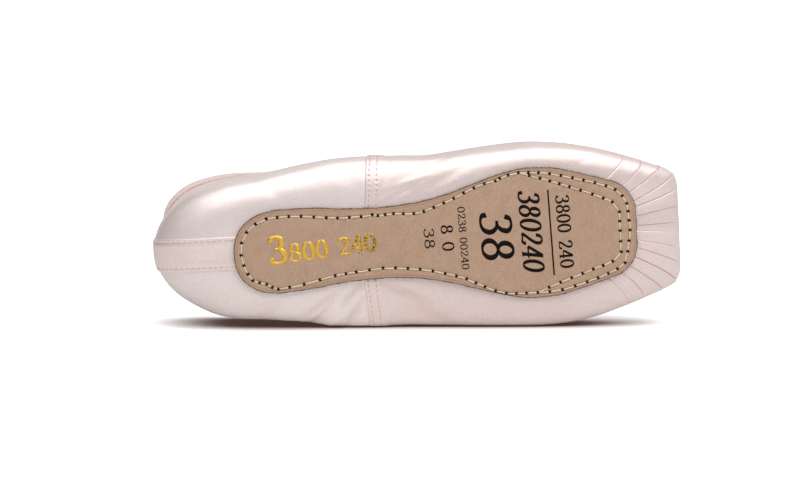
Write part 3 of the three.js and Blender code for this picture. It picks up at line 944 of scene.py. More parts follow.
# creased is the mask for the painted shade in the pleats' creases and the wrinkles' hollows
raised, creased = vamp_lift(t_lean, s_grid)
made_t = fanned(t_lean, s_grid)
vamp = cloth("vamp", made_t, s_grid, raised, 0.5, vamp_satin, "satin", attributes={"crease": creased})
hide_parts("upper")

# %% [markdown]
# The two quarters cover the sides and the back of the foot. They are plain satin, and their front
# edges lie under the vamp. Where they meet at the back of the heel, a strip of the same satin with
# both edges turned under is sewn over the join, from the sole to the collar.

# %% Quarters
UNDER_VAMP = 6.0
STRIP_HALF = 7.6


def heel_scale(s):
    """How much closer together places at the back of the heel are than at the rim."""
    a, b = surface(RIGHT_GIRTH - 1.0, s), surface(RIGHT_GIRTH + 1.0, s)
    return np.clip(np.linalg.norm(a - b, axis=-1) / 2, 0.15, None)


def strip_t(across, s):
    return RIGHT_GIRTH + across / heel_scale(s)


def quarter(side):
    sign = 1 if side == "right" else -1
    rows = np.unique(np.r_[np.linspace(-0.9, 0, 6), np.linspace(0, 1, 84)].round(4))
    share = np.unique(np.r_[np.linspace(0, 0.12, 12), np.linspace(0.12, 1, 118)])
    s = np.broadcast_to(rows[:, None], (len(rows), len(share)))
    seam = seam_t(side, s)
    front = seam - sign * UNDER_VAMP
    back = strip_t(-sign * (STRIP_HALF - 1.4), s)
    if sign < 0:
        back = back - GIRTH
    t = front + (back - front) * share
    s = stopped(t, s, satin_stop(t))
    if sign < 0:
        t, s = t[:, ::-1], s[:, ::-1]
    wrinkles = troughs(t, s)
    cloth("quarter_" + side, t, s, wrinkles, 0.5, quarter_satin, "satin",
          attributes={"crease": wrinkle_shade(wrinkles)})


quarter("right")
quarter("left")

# %% Heel strip
STRIP_ROW, STRIP_PITCH = 5.9, 2.6


def strip_lift(across, t, s):
    inside = STRIP_HALF - np.abs(across)
    fold = 0.62 * np.sqrt(np.clip(1 - (1 - np.clip(inside / 0.5, 0, 1)) ** 2, 0, 1))
    layers = fold * (1 - 0.3 * smooth_step(inside, 3.4, 5.0))
    high = s * blend_rows(WALL_LENGTH, t)
    pull = hump(np.abs(across) - STRIP_ROW, 0.5) * (0.15 + 0.13 * np.cos(2 * np.pi * high / STRIP_PITCH))
    return layers - pull + troughs(t, s)


edge = np.array([0, 0.05, 0.14, 0.28, 0.5, 0.85, 1.2, 1.5, 1.8, 2.2, 2.8, 3.5, 4.3, 5.2, 6.3])
across = np.r_[-STRIP_HALF + edge, 0, (STRIP_HALF - edge)[::-1]]
rows = np.unique(np.r_[np.linspace(-0.9, 0, 6), np.linspace(0, 1, 110)].round(4))
across, s_strip = np.meshgrid(across, rows)
t_strip = strip_t(across, s_strip)
s_strip = stopped(t_strip, s_strip, satin_stop(t_strip))
raised = strip_lift(across, t_strip, s_strip)
cloth("heel_strip", t_strip, s_strip, raised, 0.55, strip_satin, "satin")

# %% [markdown]
# The seams are sewn with fine pink thread. A stitch is a short cord that rises out of the cloth and
# dives back in, so each one is a small bent tube. An array modifier could repeat one tube, but the
# rows bend over the shoe, so every stitch is laid on the cloth where it belongs and all of them are
# joined into one mesh.

# %% Thread
def thread_material(name, light, deep, roughness=0.55):
    made, tree = new_material(name)
    fibres = use_group(tree, threads, {"Threads": 5200.0, "Stretch": 2.0, "Cross": 0.6, "Slubs": 0.6})
    base = mix_colour(tree, ranged(tree, fibres.outputs[0], 0.8, 1.5), deep, light)
    finish_material(tree, {
        "Base Color": base, "Roughness": roughness, "Normal": bumped(tree, fibres.outputs[0], 0.5, 0.00008),
        "Sheen Weight": 0.4, "Sheen Roughness": 0.5})
    return made


pink_thread = thread_material("pink_thread", colour(226, 182, 172), colour(200, 140, 130))


STITCH_SINK = 0.25  # how far its ends go down into the cloth


def stitch(start, end, out, radius=0.17, rise=0.16):
    """One stitch between two places on the cloth: out is the way the cloth faces."""
    share = np.array([0, 0.1, 0.28, 0.5, 0.72, 0.9, 1])
    bow = np.array([-STITCH_SINK, 0, 0.8 * rise, rise, 0.8 * rise, 0, -STITCH_SINK])
    path = start + (end - start) * share[:, None] + out * bow[:, None]
    return tube(path, radius * np.array([0.7, 0.95, 1, 1, 1, 0.95, 0.7]), sides=6)


def row_of_stitches(place_at, length, pitch, long, start):
    """Stitches along a row, where place_at gives the place and facing a distance along it."""
    parts = []
    while start + long < length:
        here = start + rng.uniform(-0.12, 0.12)
        a, out = place_at(here)
        b, _ = place_at(here + long * rng.uniform(0.9, 1.08))
        parts.append(stitch(a, b, out))
        start += pitch
    return parts


def facing_at(t, s):
    return (surface(t, s, 5.0) - surface(t, s, 0.0)) / 5.0


def seam_row(side, beyond):
    sign = 1 if side == "right" else -1

    def place_at(high):
        s = float(height_share(float(seam_t(side, 0)), high))
        t = float(seam_t(side, s)) - sign * beyond
        return surface(t, s, float(vamp_lift(np.array([t]), np.array([s]))[0][0])), facing_at(t, s)

    return place_at


def strip_row(across):
    def place_at(high):
        s = float(height_share(RIGHT_GIRTH, high))
        t = float(strip_t(across, np.array([s]))[0])
        above = strip_lift(np.array([across]), np.array([t]), np.array([s]))[0]
        return surface(t, s, float(above)), facing_at(t, s)

    return place_at


parts = []
for side in ("right", "left"):
    for beyond in SEAM_ROWS:
        length = float(blend_rows(WALL_LENGTH, float(seam_t(side, 0)))) - 2.5
        parts += row_of_stitches(seam_row(side, beyond), length, SEAM_PITCH, 1.15, start=0.4)
for across_row in (-STRIP_ROW, STRIP_ROW):
    length = float(blend_rows(WALL_LENGTH, RIGHT_GIRTH)) - 2.5
    parts += row_of_stitches(strip_row(across_row), length, STRIP_PITCH, 1.5, start=0.6)
add_mesh("seam_stitches", *join(parts), pink_thread, "satin")

# %% [markdown]
# Inside, the shoe is lined with cream cotton drill, glued to the satin. Seen from behind or above, the
# lining is most of the shoe, so it is a full second skin, a little way inside the first, all round.

# %% Lining
def lining_material():
    made, tree = new_material("cotton_drill")
    soft = use_group(tree, tone, {
        "Colour A": colour(236, 228, 214), "Colour B": colour(226, 215, 198), "Size": 40.0})
    turned = place(tree, "ShaderNodeVectorRotate", {"Vector": object_spot(tree), "Angle": 0.9},
                   rotation_type="Y_AXIS")
    drill = place(tree, "ShaderNodeTexWave", {
        "Vector": turned.outputs[0], "Scale": 420.0, "Distortion": 1.2, "Detail": 2.0, "Detail Scale": 3.0})
    fibres = use_group(tree, threads, {"Threads": 2200.0, "Stretch": 3.0, "Cross": 0.7, "Slubs": 0.9})
    height = math_node(tree, "ADD", math_node(tree, "MULTIPLY", drill.outputs[1], 0.6), fibres.outputs[0])
    base = mix_colour(tree, ranged(tree, height, 0.8, 2.0), colour(205, 190, 170), soft.outputs[0])
    finish_material(tree, {
        "Base Color": base, "Roughness": 0.85, "Normal": bumped(tree, height, 0.5, 0.00025),
        "Sheen Weight": 0.3, "Sheen Roughness": 0.6})
    return made


cotton_drill = lining_material()
LINING_OUT, LINING_IN = -0.95, -1.7
t_line = np.arange(0, GIRTH, GIRTH / 560)
s_line = np.unique(np.r_[np.linspace(-0.8, 0, 5), np.linspace(0, 1, 70)])
t_line, s_line = np.meshgrid(t_line, s_line)
s_line = stopped(t_line, s_line, 1.0)
follow = 0.5 * troughs(t_line, s_line)
pucker = 0.12 * np.sin(t_line / 3.1) * np.sin(s_line * 40 + t_line / 11)
inner = surface(t_line, s_line, LINING_IN + pucker + follow)
pick = np.linspace(s_line.shape[0] - 1, 0, 14).round().astype(int)
outer = surface(t_line[pick], s_line[pick], LINING_OUT + follow[pick])
lining_points = np.concatenate([inner[::-1], outer[::-1]])
lining_faces = grid_faces(len(lining_points), t_line.shape[1], wrap_rows=True, wrap_columns=True)
add_mesh("lining", lining_points, lining_faces, cotton_drill, "satin")

# %% [markdown]
# The collar is bound with ribbed cotton tape cut on the bias, folded over the edge with a drawstring
# inside. From outside only its rounded fold shows, past the satin's edge, and from inside its wider
# leg, sewn down with pink thread. The tape is one closed profile carried round the collar, and its
# ribs are in the mesh: they run aslant, because the tape is cut aslant.

# %% Collar binding
def tape_material():
    made, tree = new_material("bias_tape")
    soft = use_group(tree, tone, {
        "Colour A": colour(247, 236, 232), "Colour B": colour(242, 228, 223), "Size": 60.0})
    fibres = use_group(tree, threads, {"Threads": 4200.0, "Stretch": 2.0, "Cross": 0.7, "Slubs": 0.6})
    # painted shade: the rib troughs are painted a darker pink than the crests, standing in for the shade
    # between the ribs
    finish_material(tree, {
        "Base Color": mix_colour(tree, stored(tree, "rib"), colour(188, 156, 150), soft.outputs[0]),
        "Roughness": 0.62, "Normal": bumped(tree, fibres.outputs[0], 0.4, 0.0001),
        "Sheen Weight": 0.35, "Sheen Roughness": 0.5})
    return made


bias_tape = tape_material()
# the tape's profile: how far out from the upper's face, and how far up from its edge
ROLL_CENTRE, ROLL_RADIUS = np.array([-0.95, -0.15]), 1.25
RIB = 0.62
LEG_SHOWS = 5  # the points of the leg that show, inside the shoe
turn = np.radians(np.linspace(-35, 180, 13))
roll = ROLL_CENTRE + ROLL_RADIUS * np.stack([np.cos(turn), np.sin(turn)], 1)
leg = np.array([
    [-2.22, -1.2], [-2.24, -2.4], [-2.3, -3.6], [-2.32, -4.8], [-2.32, -5.8], [-2.2, -6.1], [-2.0, -5.9],
    [-1.85, -4.0], [-1.8, -1.8], [-1.3, -1.0], [-0.6, -1.6], [-0.5, -2.4], [-0.25, -1.7]])
profile = np.concatenate([roll, leg])
collar_t = np.arange(0, GIRTH, GIRTH / 3000)
edge_point = surface(collar_t, 1.0)
edge_out = surface(collar_t, 1.0, 1.0) - edge_point
i = np.round(ring_place(collar_t)).astype(int) % len(ring)
edge_up = ring[i, -1] - ring[i, -6]
edge_up /= np.linalg.norm(edge_up, axis=1)[:, None]
edge_far = np.r_[0, np.cumsum(np.linalg.norm(np.diff(edge_point, axis=0), axis=1))]
profile_far = np.r_[0, np.cumsum(np.linalg.norm(np.diff(profile, axis=0), axis=1))]
slant_pitch = RIB * math.sqrt(2)
ribs_round = round(edge_far[-1] / slant_pitch)
turns = edge_far[:, None] / edge_far[-1] * ribs_round + profile_far[None] / slant_pitch
rib = 0.5 + 0.5 * np.cos(2 * np.pi * turns)
visible = np.arange(len(profile)) < len(roll) + LEG_SHOWS
outward = profile - ROLL_CENTRE
outward[len(roll):] = (-1, 0)
outward /= np.linalg.norm(outward, axis=1)[:, None]
swell = 0.09 * (rib - 0.5) * visible
slack = 0.12 * np.sin(edge_far / 7.3) + 0.08 * np.sin(edge_far / 2.9 + 1.0)
section = profile[None] + outward[None] * swell[..., None]
section[:, : len(roll), 1] += slack[:, None] * 0.6
open_share = sprung(collar_t)[:, None, None]
around_roll = section[:, : len(roll)] - ROLL_CENTRE
section[:, : len(roll)] += open_share * (around_roll * 0.4 + (0.95, 0.5))
tape = edge_point[:, None] + edge_out[:, None] * section[..., :1] + edge_up[:, None] * section[..., 1:]
tape_faces = grid_faces(len(collar_t), len(profile), wrap_rows=True, wrap_columns=True)
binding = add_mesh("collar_tape", tape, tape_faces, bias_tape, "binding", attributes={"rib": rib})
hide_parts("collar_binding")

# %% [markdown]
# Two rows of stitches hold the tape: one close under the roll outside, and one along the leg inside.
# The tape's grid already says where the edge runs, so the stitches are laid along that.

# %% Collar stitches
def collar_row(out, ups, pitch, long):
    parts = []
    for at in np.arange(0, edge_far[-1] - pitch, pitch):
        ends = []
        for far in (at, at + long):
            k = np.interp(far, edge_far, np.arange(len(edge_far)))
            low, share = int(k), k - int(k)
            nxt = min(low + 1, len(edge_far) - 1)
            lines = (edge_point, edge_out, edge_up, ups)
            point, outwards, upwards, up = [g[low] * (1 - share) + g[nxt] * share for g in lines]
            ends.append((point + outwards * out + upwards * up, outwards))
        way = ends[0][1] if out > -1 else -ends[0][1]
        parts.append(stitch(ends[0][0], ends[1][0], way, radius=0.2, rise=0.12))
    return parts


outside_row = collar_row(0.12, -satin_stop(collar_t) - 0.1, 1.9, 1.6)
parts = outside_row + collar_row(-2.36, np.full(len(collar_t), -5.2), 2.6, 1.7)
add_mesh("collar_stitches", *join(parts), pink_thread, "binding")

# %% [markdown]
# The outsole is a pad of split leather, suede side out, sewn on by hand with waxed linen thread. Its
# edge is cut with a knife, burnished dark and a little ragged, and a line is creased beside it. A
# machine would space the awl's holes evenly, and a hand doesn't. So some holes are placed, where the
# row turns or its pitch changes, and the ones between them are worked out. Holes are counted from the
# middle of the toe, round the shoe's left side and the heel.

# %% Holes of the two rows
# number of the hole, distance from the heel and from the middle line (the shoe's right positive)
OUTER_ROW = table(
    "hole x across",
    "0 213.5 0", "2 212 -9.5", "3 210.5 -14.5", "4 207 -17", "7 193 -22", "10 176 -25.5",
    "12 165.5 -25.5", "14 156.5 -25", "16 147 -21.5", "18 139 -17.5", "20 129.5 -14.5", "22 118.5 -12",
    "25 102 -10.5", "27 90 -11.5", "29 80.5 -12.5", "31 66.5 -15.5", "33 55 -17", "35 50 -14.5",
    "37 44 -12.5", "38 42 -9.5", "40 39.5 -1", "41 40 4.5", "42 42.5 9", "44 51.5 14.5", "46 61.5 15",
    "49 78 13.5", "50 83 13", "52 93.5 13", "53 98.5 13.5", "54 101 13", "56 108 13.5", "58 117 13",
    "61 130.5 17", "65 149 24.5", "66 154 25.5", "67 156 26.5", "69 164.5 28.5", "71 173.5 28",
    "75 193.5 23.5", "78 207.5 18.5", "80 212.5 12", "81 213 8.5", "83 213.5 0",
)
INNER_ROW = table(
    "hole x across",
    "0 170.5 -25.5", "2 181 -21.5", "5 196 -16.5", "7 205 -13.5", "8 209 -9.5", "10 209 0",
    "12 209 8.5", "13 206 13", "14 202 15", "17 187 21", "20 174 25.5", "22 164.5 28.5",
)


def hole_places(row):
    number = np.arange(row["hole"][-1] + 1)
    x, across = (curve(row["hole"], row[name])(number) for name in ("x", "across"))
    return np.stack([x, -across], 1)


outer_holes, inner_holes = hole_places(OUTER_ROW)[:-1], hole_places(INNER_ROW)
spans = [*zip(outer_holes, np.roll(outer_holes, -1, 0)), *zip(inner_holes[:-1], inner_holes[1:])]
span_starts, span_ends = (np.array(ends) for ends in zip(*spans))
all_holes = np.concatenate([outer_holes, inner_holes[1:-1]])
print("holes", len(all_holes), "stitches", len(spans))

# %% Sole outline
left_half = sole_edge["left"]
right_half = sole_edge["right"] * (1, -1)
loop = np.concatenate([left_half, right_half[::-1][1:-1]])
loop = even(np.concatenate([loop, loop[:1]]), 0.6)[0][:-1]
loop_out = np.roll(loop, -1, 0) - np.roll(loop, 1, 0)
loop_out = np.stack([-loop_out[:, 1], loop_out[:, 0]], 1)
loop_out /= np.linalg.norm(loop_out, axis=1)[:, None]
if np.sum((loop - loop.mean(0)) * loop_out) < 0:
    loop_out = -loop_out


def wobble(count, sizes, seed):
    """Smooth random waves round a closed line, one for each (number of waves, size)."""
    random = np.random.default_rng(seed)
    turn = np.linspace(0, 2 * np.pi, count, endpoint=False)
    total = np.zeros(count)
    for waves, size in sizes:
        for k in range(5):
            total += size / 2 * np.sin(turn * (waves + 3 * k) + random.uniform(0, 2 * np.pi))
    return total


ragged = wobble(len(loop), ((40, 0.07), (120, 0.06), (240, 0.05)), 3)


def sole_ring(inset_by):
    return loop - loop_out * (inset_by - ragged)[:, None]


def distance_to(points, starts, ends):
    """Distance from each point to the nearest of many short lines."""
    best = np.full(len(points), 1e9)
    for a, b in zip(starts, ends):
        way = b - a
        near = np.clip(((points - a) @ way) / (way @ way), 0, 1)
        best = np.minimum(best, np.linalg.norm(points - a - near[:, None] * way, axis=1))
    return best


def waves(points, seed, size, long):
    random = np.random.default_rng(seed)
    total = np.zeros(len(points))
    for _ in range(7):
        way = random.normal(size=2)
        way *= 2 * np.pi / long / np.linalg.norm(way) * random.uniform(0.6, 1.5)
        total += np.sin(points @ way + random.uniform(0, 6.3))
    return total * size / 3


def sole_face(points):
    """For each place on the tread: its height, how much painted hole shade, how creased, and how far in from
    the edge.
    """
    points = np.asarray(points, float)
    in_from_edge = distance_to(points, loop, np.roll(loop, -1, 0))
    to_row = distance_to(points, span_starts, span_ends)
    to_hole = distance_to(points, all_holes, all_holes + 1e-6)
    groove = 0.26 * hump(to_row, 0.6)
    pit = 1.0 * (1 - smooth_step(to_hole, 0.5, 0.9))
    crease = 0.13 * hump(in_from_edge - 1.25, 0.24)
    edge_round = 0.16 * hump(in_from_edge - 0.2, 0.45)
    height = lift(points[:, 0]) + groove + pit + crease + edge_round + waves(points, 11, 0.07, 26)
    return height, 1 - smooth_step(to_hole, 0.62, 0.92), hump(in_from_edge - 1.25, 0.3), in_from_edge


# %% [markdown]
# The holes, the grooves and the creased line are real shapes in the leather, so the mesh needs points
# where they are and few anywhere else. A grid can't do that. The points are set out one by one instead,
# rings round each hole and lines beside each stitch, and a Delaunay triangulation joins them up.

# %% A pad of any outline
from mathutils.geometry import delaunay_2d_cdt


CELL = 0.14  # points closer than this are one point too many


def thinned(cloud, keep_first):
    """Drops points that crowd each other, but never the first ones."""
    seen_cells, kept = set(), []
    for k, p in enumerate(cloud):
        cell = (round(p[0] / CELL), round(p[1] / CELL))
        if k < keep_first or cell not in seen_cells:
            kept.append(k)
            seen_cells.add(cell)
    return cloud[kept]


def facing_way(triangles, points, way):
    a, b, c = (points[v] for v in triangles[0][:3])
    return triangles if np.cross(b - a, c - a)[2] * way > 0 else [f[::-1] for f in triangles]


def pad_mesh(rim, filling, face_height, edge_rings, way):
    """A closed pad: a face over free points, rings down its cut edge, and a flat back.
    way is -1 where the face looks down and 1 where it looks up."""
    around = len(rim)
    cloud = thinned(np.concatenate([rim, filling]), around)
    bound = [(k, (k + 1) % around) for k in range(around)]
    flat = delaunay_2d_cdt([Vector(p) for p in cloud], bound, [], 1, 1e-5)
    flat_points = np.array([tuple(p) for p in flat[0]])
    last = [None] * around
    for new, origs in enumerate(flat[3]):
        for orig in origs:
            if orig < around:
                last[orig] = new
    face_points = np.column_stack([flat_points, face_height(flat_points)])
    triangles = facing_way([list(f) for f in flat[2]], face_points, way)
    points, sides, start = [face_points], [], len(face_points)
    for ring_points in edge_rings:
        points.append(ring_points)
        for n in range(around):
            m = (n + 1) % around
            sides.append([last[n], last[m], start + m, start + n])
        last = [start + n for n in range(around)]
        start += around
    every = np.concatenate(points)
    a, b, c = (every[v] for v in sides[0][:3])
    if np.dot(np.cross(b - a, c - a)[:2], loop_out[0]) < 0:
        sides = [f[::-1] for f in sides]
    back = delaunay_2d_cdt([Vector(p[:2]) for p in edge_rings[-1]], bound, [], 1, 1e-5)
    back_ids = [last[o[0]] for o in back[3]]
    back_faces = facing_way([[back_ids[v] for v in f] for f in back[2]], every, -way)
    return flat_points, every, triangles + sides + back_faces


# %% Outsole
rings = [sole_ring(d) for d in (0.45, 0.75, 1.0, 1.25, 1.5, 1.85)]
spread = []
for a, b in spans:
    way = (b - a) / np.linalg.norm(b - a)
    side_way = np.array([-way[1], way[0]])
    for off in (-1.1, -0.65, -0.32, 0, 0.32, 0.65, 1.1):
        steps = np.arange(1.05, np.linalg.norm(b - a) - 0.7, 0.6)
        spread.append(a + way * steps[:, None] + side_way * off)
for hole in all_holes:
    for radius, count in ((0.0001, 1), (0.4, 7), (0.62, 11), (0.8, 14), (0.98, 14)):
        turn = np.linspace(0, 2 * np.pi, count, endpoint=False) + radius * 3
        spread.append(hole + radius * np.stack([np.cos(turn), np.sin(turn)], 1))
lattice = np.stack(np.meshgrid(np.arange(36, 220, 1.7), np.arange(-33, 33, 1.7)), -1).reshape(-1, 2)
lattice += rng.uniform(-0.3, 0.3, lattice.shape)
spread = np.concatenate(spread)


def inside(points, outline):
    """Which points are inside a closed outline."""
    a, b = outline, np.roll(outline, -1, 0)
    y = points[:, 1:2]
    crosses = (a[None, :, 1] > y) != (b[None, :, 1] > y)
    rise = np.where(b[:, 1] - a[:, 1] == 0, 1e-12, b[:, 1] - a[:, 1])
    at = (b[:, 0] - a[:, 0]) * (y - a[:, 1]) / rise + a[:, 0]
    return (crosses & (points[:, :1] < at)).sum(1) % 2 == 1


rim = rings[0]
spread = spread[inside(spread, rings[-1])]
lattice = lattice[inside(lattice, sole_ring(2.4))]
lattice = lattice[distance_to(lattice, span_starts, span_ends) > 1.5]
EDGE = ((0.2, 0.16), (0.04, 0.36), (0.0, 0.7), (0.05, 1.2), (0.1, 1.65), (0.35, 1.95), (1.2, 2.0))
fray = wobble(len(loop), ((200, 0.05), (330, 0.05)), 9)
edge_rings = []
for k, (inset_by, up) in enumerate(EDGE):
    ring_xy = sole_ring(inset_by + fray * (0.6 if k in (2, 3, 4) else 0.2))
    edge_rings.append(np.column_stack([ring_xy, up + lift(ring_xy[:, 0])]))
flat_points, all_points, sole_faces = pad_mesh(
    rim, np.concatenate(rings[1:] + [spread, lattice]), lambda p: sole_face(p)[0], edge_rings, -1)
# dark is the mask for the painted shade in the awl holes
_, dark, line, in_from_edge = sole_face(flat_points)
burnt = np.clip(1 - (in_from_edge - 0.15) / 0.4, 0, 1)


def pad(values, rest=0):
    """A number for the face's points, and another for all the points of the cut edge and the back."""
    return np.r_[values, np.full(len(all_points) - len(values), rest)]


def suede_material():
    made, tree = new_material("suede")
    base = use_group(tree, nap, {"Colour": colour(196, 166, 143), "Deep Colour": colour(154, 121, 97),
                                 "Fibres": 2600.0})
    lined = use_group(tree, mark, {
        "Colour": base.outputs[0], "Mark Colour": colour(146, 110, 84), "Ragged": 0.3,
        "Mask": math_node(tree, "MULTIPLY", stored(tree, "line"), 0.4)})
    edged = use_group(tree, mark, {
        "Colour": lined.outputs[0], "Mark Colour": colour(74, 47, 34), "Mask": stored(tree, "edge"),
        "Ragged": 0.9, "Grain": 1600.0})
    # painted shade: the awl holes are painted near black, standing in for the shade inside them
    holed = use_group(tree, mark, {
        "Colour": edged.outputs[0], "Mark Colour": colour(14, 10, 9), "Mask": stored(tree, "hole")})
    finish_material(tree, {
        "Base Color": holed.outputs[0], "Roughness": 0.85,
        "Normal": bumped(tree, base.outputs["Height"], 0.6, 0.0003),
        "Specular IOR Level": 0.25, "Sheen Weight": 0.15, "Sheen Roughness": 0.6})
    return made


outsole = add_mesh(
    "outsole_leather", all_points, sole_faces, suede_material(), "suede", pressed=False,
    attributes={"edge": pad(burnt, 1), "hole": pad(dark), "line": pad(line)})
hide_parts("outsole")

# %% [markdown]
# Each stitch is a short length of two-ply thread between two holes. It lies in its groove, dips into a
# hole at each end, and no two are quite alike in bend, height or thickness.

# %% Hand stitches
linen_thread = thread_material("linen_thread", colour(240, 226, 205), colour(206, 184, 154), 0.6)
THREAD_RADIUS, THREAD_GAP, THREAD_DIP = 0.32, 0.66, 0.62
share = np.linspace(0, 1, 13)
parts = []
for a, b in spans:
    long = np.linalg.norm(b - a)
    way = (b - a) / long
    aside = np.array([-way[1], way[0]]) * rng.uniform(-0.16, 0.16)
    gap = THREAD_GAP / long
    middle = a + (b - a) * (gap + (1 - 2 * gap) * share)[:, None]
    flat_way = middle + aside * np.sin(np.pi * share)[:, None]
    sunk = THREAD_DIP * (hump(share * long, 0.45) + hump((1 - share) * long, 0.45))
    up = lift(flat_way[:, 0]) - 0.02 + sunk + rng.uniform(-0.03, 0.03)
    path = np.column_stack([flat_way, up])
    radius = THREAD_RADIUS * rng.uniform(0.93, 1.07)
    parts.append(tube(path, radius, sides=10, twist=long * 1.6, plies=2, ply_depth=0.24))
add_mesh("sole_stitches", *join(parts), linen_thread, "suede", pressed=False)

# %% [markdown]
# Inside, a board lies over the cloth that is turned in, and a canvas sock is pasted on it. It is the
# same kind of pad as the outsole, the other way up and a little wider, so the same function makes it.
# Canvas is a plain weave, one thread over and one under, which two crossed waves draw in the material.

# %% Sock
SOCK_OVER, SOCK_LOW, SOCK_TOP = 2.4, 4.64, 6.18


def canvas_material():
    made, tree = new_material("sock_canvas")
    spot = object_spot(tree)
    bend = place(tree, "ShaderNodeTexNoise", {"Vector": spot, "Scale": 60.0, "Detail": 1.0}).outputs["Color"]
    bent = place(tree, "ShaderNodeVectorMath", {0: bend, 1: (0.0006, 0.0006, 0.0006), 2: spot},
                 operation="MULTIPLY_ADD").outputs[0]
    across, along = (
        place(tree, "ShaderNodeTexWave", {"Vector": bent, "Scale": 420.0}, bands_direction=way).outputs["Fac"]
        for way in ("X", "Z"))
    weave = math_node(tree, "MULTIPLY", across, along)
    base = use_group(tree, tone, {
        "Colour A": colour(226, 214, 194), "Colour B": colour(208, 193, 170), "Size": 45.0})
    shade = math_node(tree, "MULTIPLY", weave, 0.3)
    finish_material(tree, {
        "Base Color": mix_colour(tree, shade, base.outputs[0], colour(176, 158, 132)), "Roughness": 0.9,
        "Normal": bumped(tree, weave, 0.5, 0.0002), "Specular IOR Level": 0.2, "Sheen Weight": 0.2})
    return made


def sock_ring(inset_by):
    return loop + loop_out * (SOCK_OVER - inset_by)


def sock_face(points):
    """The sock's face, cupped a little under the heel and the ball and worn in waves."""
    in_from_edge = distance_to(points, sock_ring(0), np.roll(sock_ring(0), -1, 0))
    rounded = 0.35 * hump(in_from_edge, 0.55)
    cupped = 0.35 * smooth_step(in_from_edge, 2, 12)
    return SOCK_TOP + lift(points[:, 0]) - rounded - cupped + waves(points, 5, 0.12, 30)


SOCK_EDGE = ((0.12, 5.75), (0.0, 5.45), (0.0, 5.0), (0.15, 4.7), (0.6, SOCK_LOW))
sock_edge = [np.column_stack([sock_ring(d), up + lift(sock_ring(d)[:, 0])]) for d, up in SOCK_EDGE]
filling = np.stack(np.meshgrid(np.arange(32, 222, 1.6), np.arange(-34, 36, 1.6)), -1).reshape(-1, 2)
filling = filling[inside(filling, sock_ring(3.0))]
filling = np.concatenate([sock_ring(d) for d in (0.7, 1.2, 2.0)] + [filling])
_, sock_points, sock_faces = pad_mesh(sock_ring(0.35), filling, sock_face, sock_edge, 1)
sock = add_mesh("sock_lining", sock_points, sock_faces, canvas_material(), "sock_lining", pressed=False)
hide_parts("insole")

# %% [markdown]
# The sole is stamped with plain size numbers: gold foil at the waist, and black ink at the ball that
# reads across the shoe. A text object with a loaded typeface would do, but these numerals have thick
# uprights and thin turns, like printers' numerals, so each one is drawn as pen strokes. The pen is
# broad: its line is wide where it runs up or down and narrow where it runs across.

# %% Numerals
def oval(x, y, wide, high):
    turn = np.linspace(0, 2 * np.pi, 17)
    return np.stack([x + wide * np.sin(turn), y + high * np.cos(turn)], 1)


NUMERALS = {
    "0": [oval(0.30, 0.50, 0.235, 0.47)],
    "2": [
        [(0.10, 0.70), (0.11, 0.86), (0.28, 0.97), (0.46, 0.88), (0.48, 0.70), (0.38, 0.48), (0.20, 0.24),
         (0.08, 0.05)],
        [(0.07, 0.06), (0.28, 0.07), (0.52, 0.04)],
        [(0.49, 0.04), (0.55, 0.12), (0.57, 0.22)]],
    "3": [
        [(0.10, 0.78), (0.15, 0.92), (0.30, 0.97), (0.46, 0.88), (0.47, 0.72), (0.38, 0.57), (0.22, 0.53)],
        [(0.22, 0.53), (0.42, 0.49), (0.53, 0.30), (0.46, 0.10), (0.28, 0.03), (0.12, 0.08), (0.07, 0.22)]],
    "4": [
        [(0.42, 0.96), (0.22, 0.62), (0.03, 0.29)],
        [(0.03, 0.29), (0.30, 0.29), (0.60, 0.29)],
        [(0.43, 0.97), (0.43, 0.50), (0.43, 0.03)],
        [(0.31, 0.03), (0.43, 0.03), (0.56, 0.03)]],
    "8": [oval(0.30, 0.745, 0.175, 0.225), oval(0.30, 0.265, 0.225, 0.235)],
}
PEN_THIN, PEN_THICK, NUMERAL_WIDE = 0.07, 0.16, 0.64
INK_PROUD, INK_DEEP = 0.05, 0.04  # above and below the leather's face


def smooth_path(points):
    """A curve through a few points, evenly spaced."""
    points = np.asarray(points, float)
    at = np.r_[0, np.cumsum(np.linalg.norm(np.diff(points, axis=0), axis=1))]
    share = np.linspace(0, at[-1], 40)
    if np.allclose(points[0], points[-1]):
        at = np.r_[at[-3:-1] - at[-1], at, at[1:3] + at[-1]]
        points = np.concatenate([points[-3:-1], points, points[1:3]])
    slope = np.gradient(points, at, axis=0)
    i = np.clip(np.searchsorted(at, share, side="right") - 1, 0, len(at) - 2)
    wide = (at[i + 1] - at[i])[:, None]
    t = (share[:, None] - at[i][:, None]) / wide
    a, b, c, d = points[i], points[i + 1], slope[i] * wide, slope[i + 1] * wide
    return a + c * t + (3 * (b - a) - 2 * c - d) * t**2 + (2 * (a - b) + c + d) * t**3


def pen_stroke(path, thin, thick):
    """Both edges of a broad-nibbed line."""
    way = np.gradient(path, axis=0)
    way /= np.linalg.norm(way, axis=1)[:, None]
    half = (thin + (thick - thin) * np.abs(way[:, 1]) ** 1.3) / 2
    off = np.stack([-way[:, 1], way[:, 0]], 1) * half[:, None]
    return path + off, path - off


def dropped(left, right):
    """Lays a flat stroke on the sole's face as a thin closed ribbon."""
    rows = [np.column_stack([line, sole_face(line)[0] + up]) for line, up in (
        (left, -INK_PROUD), ((left + right) / 2, -INK_PROUD), (right, -INK_PROUD),
        (right, INK_DEEP), (left, INK_DEEP))]
    points = np.stack(rows, 1).reshape(-1, 3)
    count = len(left)
    faces = grid_faces(count, 5, wrap_columns=True)
    return points, faces + [list(range(5))[::-1], list(range((count - 1) * 5, count * 5))]


